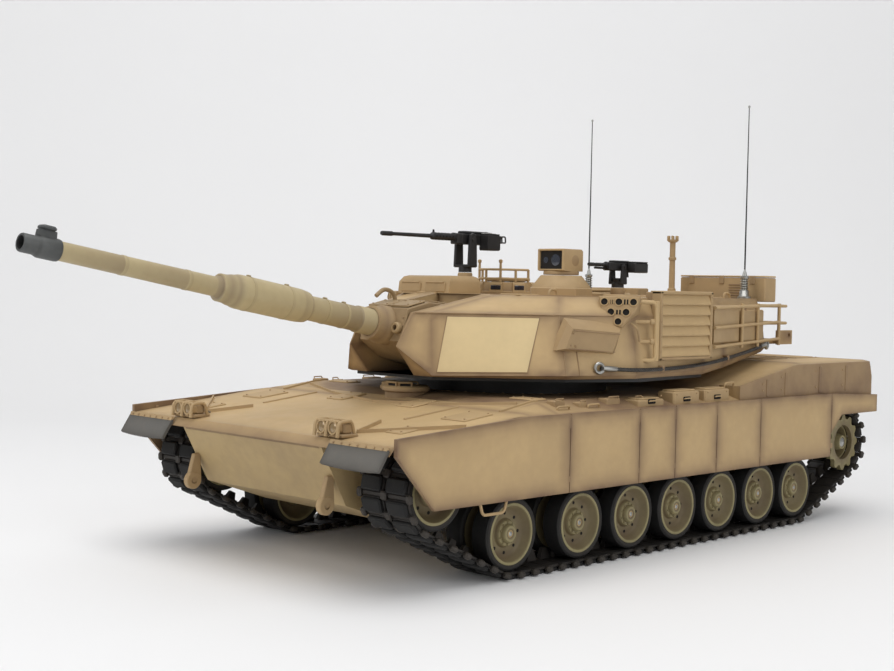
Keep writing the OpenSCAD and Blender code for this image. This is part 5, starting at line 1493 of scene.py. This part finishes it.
def build_hatches():
    """Three domed lids turned about upright axes, with hinges, handles and periscopes."""
    d = Form()
    z = 158.3
    add_lathe(d, [(z, 0.3), (z, 12.4), (z + 0.5, 12.95), (z + 1.5, 12.9), (z + 2.1, 11.9), (z + 2.3, 8),
                  (z + 2.5, 0.3)],
              (-38, -38, 0), (0, 0, 1), 48, 0, [.8, .8, .6, .1, .3, .2, .1])
    add_block(d, (-54, -42, z + 0.1), (-46, -34, z + 2.3), 0.6, 0, 0.5)
    add_tube(d, [(-54, -44, 160), (-54, -38, 160), (-54, -32, 160)], 1.25, 12, 0, 0.4)
    add_tube(d, rounded_path([(-36, -34, z + 2.2), (-36, -34, z + 2.6), (-30, -38, z + 2.6), (-30, -38, z + 2.2)], 0.2),
             0.25, 6, 0, 0.4)
    piece("commander_lid", Form().join(d, at_turret), ["paint"], "commander_hatch", ["commander_hatch"], sharp=34)
    d = Form()
    z = 152.8
    add_lathe(d, [(z, 0.3), (z, 11.9), (z + 0.5, 12.45), (z + 1.4, 12.4), (z + 2.0, 11.2), (z + 2.1, 0.3)],
              (-48, 37, 0), (0, 0, 1), 48, 0, [.8, .8, .6, .1, .3, .1])
    add_block(d, (-63, 33, z + 0.1), (-57, 41, z + 2.1), 0.6, 0, 0.5)
    add_tube(d, [(-63, 31, 154.2), (-63, 37, 154.2), (-63, 43, 154.2)], 1.15, 12, 0, 0.4)
    add_block(d, (-45, 33, z + 1.8), (-39.5, 41, z + 2.38), 0.3, 0, 0.4)
    piece("loader_lid", Form().join(d, at_turret), ["paint"], "loader_hatch", ["loader_hatch"], sharp=34)
    low = extent("driver_hatch")[0]
    x = behind_nose(118)
    d = Form()
    add_lathe(d, [(low[2] + 0.02, 0.3), (low[2] + 0.02, 13.3), (low[2] + 0.6, 13.95), (low[2] + 2.6, 13.9),
                  (low[2] + 3.4, 12.8), (low[2] + 3.7, 8), (low[2] + 3.8, 0.3)], (x, 0, 0), (0, 0, 1), 48, 0,
              [.9, .8, .7, .2, .3, .2, .1])
    # Three periscopes across the front: each a glass block in the near-black painted-shadow finish between posts, under
    # a cap
    for turn in (-45, 0, 45):
        place = tilted((x, 0, low[2] + 2.1), turn)
        add_block(d, (6.9, -3.3, 0), (11.2, 3.3, 3.2), 0.2, 1, 0.2, place)
        for y in (-4.1, 3.1):
            add_block(d, (6.4, y, 0), (11.8, y + 1.0, 3.2), 0.25, 0, 0.5, place)
        add_block(d, (6.2, -4.2, 2.9), (11.95, 4.2, 3.8), 0.3, 0, 0.3, place)
        add_block(d, (6.2, -4.2, 0), (11.95, 4.2, 0.8), 0.2, 0, 0.6, place)
    add_tube(d, rounded_path([(x - 5, -3, low[2] + 3.2), (x - 5, -3, low[2] + 5.2), (x - 5, 5, low[2] + 5.2),
                              (x - 5, 5, low[2] + 3.2)], 1.2), 0.6, 8, 0, 0.3)
    add_block(d, (x - 3.5, -19.5, low[2] + 0.05), (x + 3.5, -9, low[2] + 2.8), 0.7, 0, 0.5)
    add_lathe(d, [(low[2] + 0.04, 0.3), (low[2] + 0.04, 2.9), (low[2] + 4.2, 2.9), (low[2] + 4.8, 2.0),
                  (low[2] + 4.9, 0.3)], (x, -17, 0), (0, 0, 1), 20, 0, [.9, .8, .2, .2, .1])
    piece("driver_lid", d, ["paint", "void"], "driver_hatch", ["driver_hatch"], sharp=34)


def build_roof_guns():
    """Forks from extruded outlines; guns from blocks, turned jackets and barrels."""
    # Fork of the heavy gun
    d = Form()
    z = 163.8
    add_lathe(d, [(z, 0.3), (z, 4.4), (z + 3.6, 4.2), (z + 4, 3.4), (z + 4, 0.3)], (5, -35, 0), (0, 0, 1), 28, 0, 0.3)
    add_block(d, (1.1, -42, z + 3), (8.9, -28, z + 5), 0.5, 0, 0.3)
    for s in (1, -1):
        y = -35 + s * 6.2
        add_prism(d, [(1.2, z + 3.4), (8.8, z + 3.4), (8.2, 183), (7.2, 188), (5, 188.9), (2.8, 188), (1.8, 183)],
                  y - 1.15, y + 1.15, "y", 0.4, 0, 0.3)
        add_lathe(d, [(0, 2.0), (0.5, 1.9), (0.6, 0.3)], (5, y + s * 1.1, 185), (0, s, 0), 6, 0, 0.5)
    piece("heavy_gun_fork", Form().join(d, at_turret), ["gunmetal"], "heavy_mg_mount", ["heavy_mg_mount"], sharp=36)
    # Heavy gun: receiver, feed cover, ribs, jacket with holes, barrel, sights, grips and its box
    d, z = Form(), 186.0
    add_block(d, (-24, -38.5, z - 4.4), (16, -31.5, z + 2.6), 0.6, 0, 0.3)
    add_block(d, (-14, -38.1, z + 2.4), (10, -31.9, z + 4.3), 0.7, 0, 0.2)
    add_block(d, (-22, -37.4, z + 2.4), (-15.5, -32.6, z + 3.6), 0.5, 0, 0.3)
    for x in (-20, -12, -4, 4, 12):
        add_block(d, (x - 0.6, -38.8, z - 4.0), (x + 0.6, -31.2, z + 2.0), 0.2, 0, 0.5)
    add_tube(d, [(5, -42.6, z - 1), (5, -35, z - 1), (5, -27.4, z - 1)], 1.12, 12, 0, 0.3)
    jacket = [(15, 0.4), (15, 2.9), (17, 2.9), (17.3, 2.4), (35.6, 2.35), (36, 2.0), (37, 1.5), (37.4, 1.3), (70, 1.12),
              (70.3, 1.5), (78.2, 1.45), (78.9, 1.2), (78.9, 0.4)]
    add_lathe(d, jacket, (0, -35, z), (1, 0, 0), 20, 0, 0.25)
    # Holes in the jacket: small discs of painted shadow
    for x in np.arange(19, 35, 2.9):
        for a in np.arange(0, 360, 60):
            r = math.radians(a)
            out = np.array([0, math.cos(r), math.sin(r)])
            add_lathe(d, [(2.3, 0.62), (2.46, 0.62), (2.47, 0.2)], np.array([x, -35, z]), out, 8, 1, 1)
    add_prism(d, [(33.4, z + 2), (35.4, z + 2), (35.0, z + 4.2), (33.9, z + 4.2)], -35.4, -34.6, "y", 0.2, 0, 0.2)
    add_block(d, (-13.5, -36.6, z + 3.9), (-12.3, -33.4, z + 4.45), 0.2, 0, 0.3)
    add_block(d, (-27, -37, z - 2.4), (-24, -33, z + 2.4), 0.5, 0, 0.4)
    for y in (-36.6, -33.4):
        add_tube(d, rounded_path([(-25, y, z + 1.6), (-31, y, z + 2.0), (-31.4, y, z - 2.2), (-26, y, z - 2.0)], 1.2),
                 0.5, 8, 0, 0.3)
    box = lambda z0, g: [(-16 + g, -31.4 + g * 0.3, z0), (-4 - g, -31.4 + g * 0.3, z0), (-4 - g, -23.7 - g, z0),
                         (-16 + g, -23.7 - g, z0)]
    add_rings(d, [box(z - 7.9, 0.7), box(z - 7.2, 0.1), box(z + 1.6, 0.1), box(z + 1.8, 0.5), box(z + 2.9, 0.5)],
              0, 0.3)
    for k in range(4):
        add_tube(d, [(-13.4 + 2.2 * k, -29.6, z + 3.2 - 0.12 * k), (-13.4 + 2.2 * k, -33, z + 3.6 - 0.12 * k)],
                 0.62, 8, 2, 0.3)
    piece("heavy_gun", Form().join(d, at_turret), ["gunmetal", "void", "steel"], "heavy_mg", ["heavy_mg"], sharp=36)
    # Fork of the light gun
    d, z = Form(), 155.7
    add_lathe(d, [(z, 0.3), (z, 3.9), (z + 2.6, 3.8), (z + 3, 3.2), (z + 3, 0.3)], (-33, 60, 0), (0, 0, 1), 24, 0, 0.3)
    add_block(d, (-35.9, 54.8, z + 2), (-30.1, 65.2, z + 3.6), 0.4, 0, 0.3)
    add_block(d, (-35.4, 57.6, z + 3), (-30.6, 62.4, z + 5.9), 0.5, 0, 0.3)
    for s in (1, -1):
        y = 60 + s * 4.4
        add_prism(d, [(-35.9, z + 2.4), (-30.1, z + 2.4), (-30.8, 166), (-31.4, 169.5), (-33, 170.1), (-34.6, 169.5),
                      (-35.2, 166)], y - 0.85, y + 0.85, "y", 0.3, 0, 0.3)
    piece("light_gun_fork", Form().join(d, at_turret), ["gunmetal"], "light_mg_mount", ["light_mg_mount"], sharp=36)
    d, z = Form(), 169.0
    add_block(d, (-46.9, 57.3, z - 2.9), (-21, 62.7, z + 2.2), 0.5, 0, 0.3)
    add_block(d, (-42, 57.6, z + 2.0), (-26, 62.4, z + 3.45), 0.5, 0, 0.2)
    add_tube(d, [(-33, 54.1, z - 0.5), (-33, 60, z - 0.5), (-33, 65.9, z - 0.5)], 0.95, 10, 0, 0.3)
    add_lathe(d, [(-22, 0.4), (-22, 2.0), (-20.5, 2.0), (-20.2, 1.2), (-9, 1.05), (-8.8, 1.2), (-4.6, 1.2), (-4.1, 1.0),
                  (-4.1, 0.3)], (0, 60, z + 0.5), (1, 0, 0), 16, 0, 0.25)
    for x in np.arange(-19.5, -10, 1.9):
        add_lathe(d, [(x, 1.0), (x, 1.18), (x + 0.7, 1.18), (x + 0.7, 1.0)], (0, 60, z + 0.5),
                  (1, 0, 0), 14, 0, 0.6, True)
    add_tube(d, [(-20, 60, z - 1.6), (-10, 60, z - 1.4)], 0.7, 8, 0, 0.3)
    add_prism(d, [(-50.9, z - 2.4), (-46.6, z - 1.6), (-46.6, z + 1.6), (-50.9, z + 1.0)], 58.8, 61.2, "y", 0.4, 0, 0.3)
    add_prism(d, [(-43, z - 6.8), (-40.8, z - 6.6), (-40.2, z - 2.6), (-42.4, z - 2.6)], 59, 61, "y", 0.3, 0, 0.3)
    add_block(d, (-50.9, 62.9, z - 3.9), (-38.1, 69.9, z + 2.2), 0.6, 0, 0.3)
    add_block(d, (-50.6, 62.9, z + 2.2), (-38.4, 69.8, z + 2.95), 0.3, 0, 0.2)
    for k in range(4):
        add_tube(d, [(-45 + 1.6 * k, 63.6, z + 2.3), (-45 + 1.6 * k, 61.6, z + 2.9)], 0.45, 8, 2, 0.3)
    piece("light_gun", Form().join(d, at_turret), ["gunmetal", "void", "steel"], "light_mg", ["light_mg"], sharp=36)


def build_sight():
    """A turned base, and a head whose outline rises through stacked sections."""
    d = Form()
    z = 165.0
    add_lathe(d, [(z - 2.28, 0.3), (z - 2.28, 10.9), (z - 0.3, 10.9), (z + 0.1, 10.2), (z + 0.1, 0.3)], (0, 42, 0),
              (0, 0, 1), 40, 0, [.9, .9, .4, .8, .5])
    def section(x0, x1, half, zz, cut=2.2):
        return [(x0 + cut, 42 - half, zz), (x1, 42 - half, zz), (x1, 42 + half, zz), (x0 + cut, 42 + half, zz),
                (x0, 42 + half - cut, zz), (x0, 42 - half + cut, zz)]
    add_rings(d, [section(-10.3, 8.9, 10.3, z), section(-10.3, 8.9, 10.3, z + 12.2), section(-9.6, 8.9, 9.6, z + 13.4)],
              0, 0.35)
    # Window frame, glass set back in it, a hood above and a hinged cover edge
    frame_y, frame_z = (31.6, 52.4), (z + 0.2, z + 13.4)
    add_block(d, (8.6, frame_y[0], frame_z[0]), (10.4, frame_y[0] + 1.6, frame_z[1]), 0.4, 0, 0.3)
    add_block(d, (8.6, frame_y[1] - 1.6, frame_z[0]), (10.4, frame_y[1], frame_z[1]), 0.4, 0, 0.3)
    add_block(d, (8.6, 33, frame_z[0]), (10.4, 51, frame_z[0] + 1.0), 0.4, 0, 0.3)
    add_block(d, (8.6, 32, frame_z[1] - 1.2), (10.45, 52, frame_z[1] + 0.05), 0.4, 0, 0.3)
    # A dark block of painted shadow in the window's recess, behind the glass
    add_block(d, (8.3, 33.1, z + 1.1), (9.0, 50.9, z + 12.3), 0.2, 2, 0)
    add_lathe(d, [(8.9, 3.6), (9.3, 3.5), (9.5, 2.0), (9.55, 0.3)], (0, 45.2, z + 6.6), (1, 0, 0), 24, 1, 0.1)
    add_lathe(d, [(8.9, 2.0), (9.2, 1.9), (9.3, 0.3)], (0, 37.4, z + 6.6), (1, 0, 0), 20, 1, 0.1)
    add_tube(d, [(-4, 42, z + 13.3), (-4, 42, z + 13.45)], 3.0, 16, 0, 0.5)
    for y in (31.5, 52.5):
        add_lathe(d, [(0, 3.4), (0.2, 3.3), (0.4, 2.6)], (-1, y - math.copysign(0.35, y - 42), z + 6.5),
                  (0, math.copysign(1, y - 42), 0), 20, 0, 0.6)
    piece("sight_turning_head", Form().join(d, at_turret), ["paint", "glass", "void"], "sight_head",
          ["sight_head"], sharp=34)


# ---- Finishes of the frame's own nodes ----

KEPT = {"lower_hull": ["tub"], "turret_base": ["black", "tub"], "drive_units": ["black", "steel"],
        "battery": ["wrap"], "electronics": ["board", "black"], "turret_drives": ["black", "steel"],
        "power_switch": ["black"]}


def finish_frame_nodes():
    """Gives every node that stays visible its finish; its mesh and place stay as they are."""
    for name, node in frame["nodes"].items():
        wanted = KEPT.get(name, ["tub"] if name.startswith("arm_") else ["paint"])
        for k, slot_ in enumerate(node.material_slots):
            slot_.link = "OBJECT"
            slot_.material = bpy.data.materials[MATERIALS[wanted[min(k, len(wanted) - 1)]]]


# ---- Stage ----

def build_stage(size):
    """Floor that rises into a wall along a quarter circle: run = r sin a, rise = r (1 - cos a).
    The camera, the lights and the world stand round it."""
    floor = Form()
    # Floor that curves up into a backdrop: a flat part, a quarter circle and a wall
    away = np.array([-0.709, -0.705])
    across = np.array([-0.705, 0.709])
    a = np.linspace(0, math.pi / 2, 16)
    run = np.concatenate([[-2600, -1200, -400, 200], 700 + 500 * np.sin(a), [1200, 1200]])
    rise = np.concatenate([[0, 0, 0, 0], 500 - 500 * np.cos(a), [1400, 2600]])
    width = np.linspace(-3200, 3200, 9)
    points = np.stack([run[:, None] * away[0] + width[None] * across[0], run[:, None] * away[1]
                       + width[None] * across[1], np.repeat(rise[:, None], 9, 1)], -1)
    floor.add(points, grid_faces(len(run), 9))
    mesh = bpy.data.meshes.new("studio_floor")
    mesh.from_pydata((np.concatenate(floor.points) * MM).tolist(), [], [f[::-1] for f in floor.faces])
    if mesh.polygons[0].normal.z < 0:
        mesh.flip_normals()
    mesh.polygons.foreach_set("use_smooth", np.ones(len(mesh.polygons), bool))
    stage = bpy.data.objects.new("studio_floor", mesh)
    bpy.context.scene.collection.objects.link(stage)
    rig.stage(stage)
    paper = bpy.data.materials.new("studio paper")
    paper.use_nodes = True
    tree = paper.node_tree
    shader = tree.nodes["Principled BSDF"]
    shader.inputs["Roughness"].default_value = 0.7
    where = tree.nodes.new("ShaderNodeTexCoord").outputs["Object"]
    cloud = tree.nodes.new("ShaderNodeTexNoise")
    cloud.inputs["Scale"].default_value = 2.0
    ramp = tree.nodes.new("ShaderNodeValToRGB")
    ramp.color_ramp.elements[0].color = (0.84, 0.84, 0.845, 1)
    ramp.color_ramp.elements[1].color = (0.88, 0.88, 0.885, 1)
    tree.links.new(where, cloud.inputs["Vector"])
    tree.links.new(cloud.outputs["Fac"], ramp.inputs["Fac"])
    tree.links.new(ramp.outputs["Color"], shader.inputs["Base Color"])
    # The paper is clear from behind, so that it never stands between a camera and the model
    clear, either = tree.nodes.new("ShaderNodeBsdfTransparent"), tree.nodes.new("ShaderNodeMixShader")
    tree.links.new(tree.nodes.new("ShaderNodeNewGeometry").outputs["Backfacing"], either.inputs[0])
    tree.links.new(shader.outputs["BSDF"], either.inputs[1])
    tree.links.new(clear.outputs["BSDF"], either.inputs[2])
    tree.links.new(either.outputs["Shader"], tree.nodes["Material Output"].inputs["Surface"])
    mesh.materials.append(paper)
    # Camera: place, direction and roll
    camera = bpy.data.objects.new("Camera", bpy.data.cameras.new("Camera"))
    bpy.context.scene.collection.objects.link(camera)
    forward = Vector((-0.708571, -0.704789, -0.034629)).normalized()
    right = Vector((-0.705569, 0.708340, 0.020661)).normalized()
    up = right.cross(forward).normalized()
    turn = Matrix((right, up, -forward)).transposed().to_4x4()
    camera.matrix_world = Matrix.Translation(Vector((618.21, 595.60, 153.84)) * MM) @ turn
    camera.data.lens, camera.data.sensor_width = 56.21, 36.0
    camera.data.clip_start, camera.data.clip_end = 0.01, 50
    bpy.context.scene.camera = camera
    # Light: a wide soft panel overhead, one from the camera's left, a weaker one from the right
    def panel(name, place, aim, wide, power):
        data = bpy.data.lights.new(name, "AREA")
        data.shape, data.size, data.energy = "DISK", wide, power
        lamp = bpy.data.objects.new(name, data)
        bpy.context.scene.collection.objects.link(lamp)
        lamp.location = place
        lamp.rotation_euler = (Vector(aim) - Vector(place)).to_track_quat("-Z", "Y").to_euler()
    panel("overhead", (0.2, 0.2, 1.7), (0, 0, 0), 1.8, 26 * size.light)
    panel("left", (1.7, -0.5, 1.0), (0, 0, 0.1), 1.2, 16 * size.light)
    panel("right", (0.1, 1.9, 0.9), (0, 0, 0.1), 1.3, 13 * size.light)
    world = bpy.data.worlds.new("Studio")
    bpy.context.scene.world = world
    world.use_nodes = True
    world.node_tree.nodes["Background"].inputs["Color"].default_value = (1, 1, 1, 1)
    world.node_tree.nodes["Background"].inputs["Strength"].default_value = 0.55 * size.light
    bpy.context.scene.view_settings.view_transform = "Standard"


# ---- Add-on ----

class TankSizes(bpy.types.PropertyGroup):
    light: FloatProperty(name="Light", description="Strength of all the lights together", default=0.66, min=0)
    skirt_bottom: FloatProperty(name="Skirt bottom", description="Height of the skirts' lower edge, in millimetres",
                                default=44.2, min=30, max=60)


class TankColours(bpy.types.PropertyGroup):
    paint: FloatVectorProperty(name="Sand paint", description="Colour of the hull and turret", subtype="COLOR_GAMMA",
                               size=3, min=0, max=1, default=(0.725, 0.617, 0.445))
    panel: FloatVectorProperty(name="Panel paint", description="Colour of the cheek panels", subtype="COLOR_GAMMA",
                               size=3, min=0, max=1, default=(0.85, 0.76, 0.575))
    # The shade colour: painted shade in recesses and corners, and airbrushed shading along seams
    spray: FloatVectorProperty(name="Shading", description="Airbrushed colour of recesses and seams",
                               subtype="COLOR_GAMMA", size=3, min=0, max=1, default=(0.43, 0.33, 0.25))
    wheel: FloatVectorProperty(name="Wheel paint", description="Colour of the road wheels", subtype="COLOR_GAMMA",
                               size=3, min=0, max=1, default=(0.60, 0.56, 0.40))


def operator(identifier, label, text, work):
    """An operator class with one job, which takes the scene's sizes and colours."""
    def execute(self, context):
        work(context.scene)
        return {"FINISHED"}
    return type("TANK_OT_" + identifier, (bpy.types.Operator,), {
        "bl_idname": "tank." + identifier, "bl_label": label, "__doc__": text, "execute": execute})


def set_finishes(scene):
    """Makes the materials in the chosen colours and notes their names."""
    MATERIALS.update({key: material.name for key, material in make_finishes(scene.tank_colours).items()})


STEPS = [
    operator("finishes", "Finishes", "Make every material", set_finishes),
    operator("stage", "Stage", "Make the floor, the camera and the lights", lambda s: build_stage(s.tank_sizes)),
    operator("hull", "Hull roof", "Make the hull's roof and its fittings", lambda s: build_hull()),
    operator("skirts", "Side skirts", "Make the skirt panels and hinges",
             lambda s: build_skirts(s.tank_sizes.skirt_bottom)),
    operator("guards", "Flaps and lamps", "Make the flaps, lamps and hooks", lambda s: build_guards_and_lamps()),
    operator("tracks", "Tracks", "Lay both tracks link by link", lambda s: build_tracks()),
    operator("wheels", "Wheels", "Make road wheels and idlers", lambda s: build_wheels()),
    operator("sprockets", "Sprockets", "Make the drive sprockets", lambda s: build_sprockets()),
    operator("turret", "Turret shell", "Make the turret's armour", lambda s: build_turret_shell()),
    operator("cables", "Tow cables", "Lay the tow cables", lambda s: build_cables()),
    operator("racks", "Racks", "Make the racks and the basket", lambda s: build_racks()),
    operator("fittings", "Roof fittings", "Make the turret's fittings", lambda s: build_fittings()),
    operator("antennas", "Antennas", "Make the whip antennas", lambda s: build_antennas()),
    operator("mantlet", "Mantlet", "Make the gun's mantlet", lambda s: build_mantlet()),
    operator("barrel", "Gun barrel", "Make the gun's barrel", lambda s: build_barrel()),
    operator("hatches", "Hatches", "Make the three hatch lids", lambda s: build_hatches()),
    operator("roof_guns", "Machine guns", "Make both machine guns and forks", lambda s: build_roof_guns()),
    operator("sight", "Turning sight", "Make the turning sight", lambda s: build_sight()),
    operator("kept", "Frame finishes", "Finish the frame's own nodes", lambda s: finish_frame_nodes()),
]


class TANK_PT_panel(bpy.types.Panel):
    """Sizes, colours and the steps of the build."""
    bl_label = "Tank"
    bl_idname = "TANK_PT_panel"
    bl_space_type = "VIEW_3D"
    bl_region_type = "UI"
    bl_category = "Tank"

    def draw(self, context):
        for group in (context.scene.tank_sizes, context.scene.tank_colours):
            for name in group.__annotations__:
                self.layout.prop(group, name)
        for step in STEPS:
            self.layout.operator(step.bl_idname)


CLASSES = [TankSizes, TankColours, *STEPS, TANK_PT_panel]


def register():
    """Adds the classes and the scene's two groups of settings."""
    for each in CLASSES:
        bpy.utils.register_class(each)
    bpy.types.Scene.tank_sizes = PointerProperty(type=TankSizes)
    bpy.types.Scene.tank_colours = PointerProperty(type=TankColours)


def unregister():
    """Takes away what register added, in the opposite order."""
    del bpy.types.Scene.tank_colours, bpy.types.Scene.tank_sizes
    for each in reversed(CLASSES):
        bpy.utils.unregister_class(each)


def plain(bounds):
    """Two corners as plain lists of numbers."""
    return [[float(v) for v in corner] for corner in bounds]


def main():
    """Registers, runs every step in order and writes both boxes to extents.json."""
    packed = plain(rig.bounds())
    register()
    for step in STEPS:
        space, name = step.bl_idname.split(".")
        getattr(getattr(bpy.ops, space), name)()
    with open("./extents.json", "w") as out:
        json.dump({"cad": packed, "visual": plain(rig.bounds())}, out)


if __name__ == "__main__":
    main()
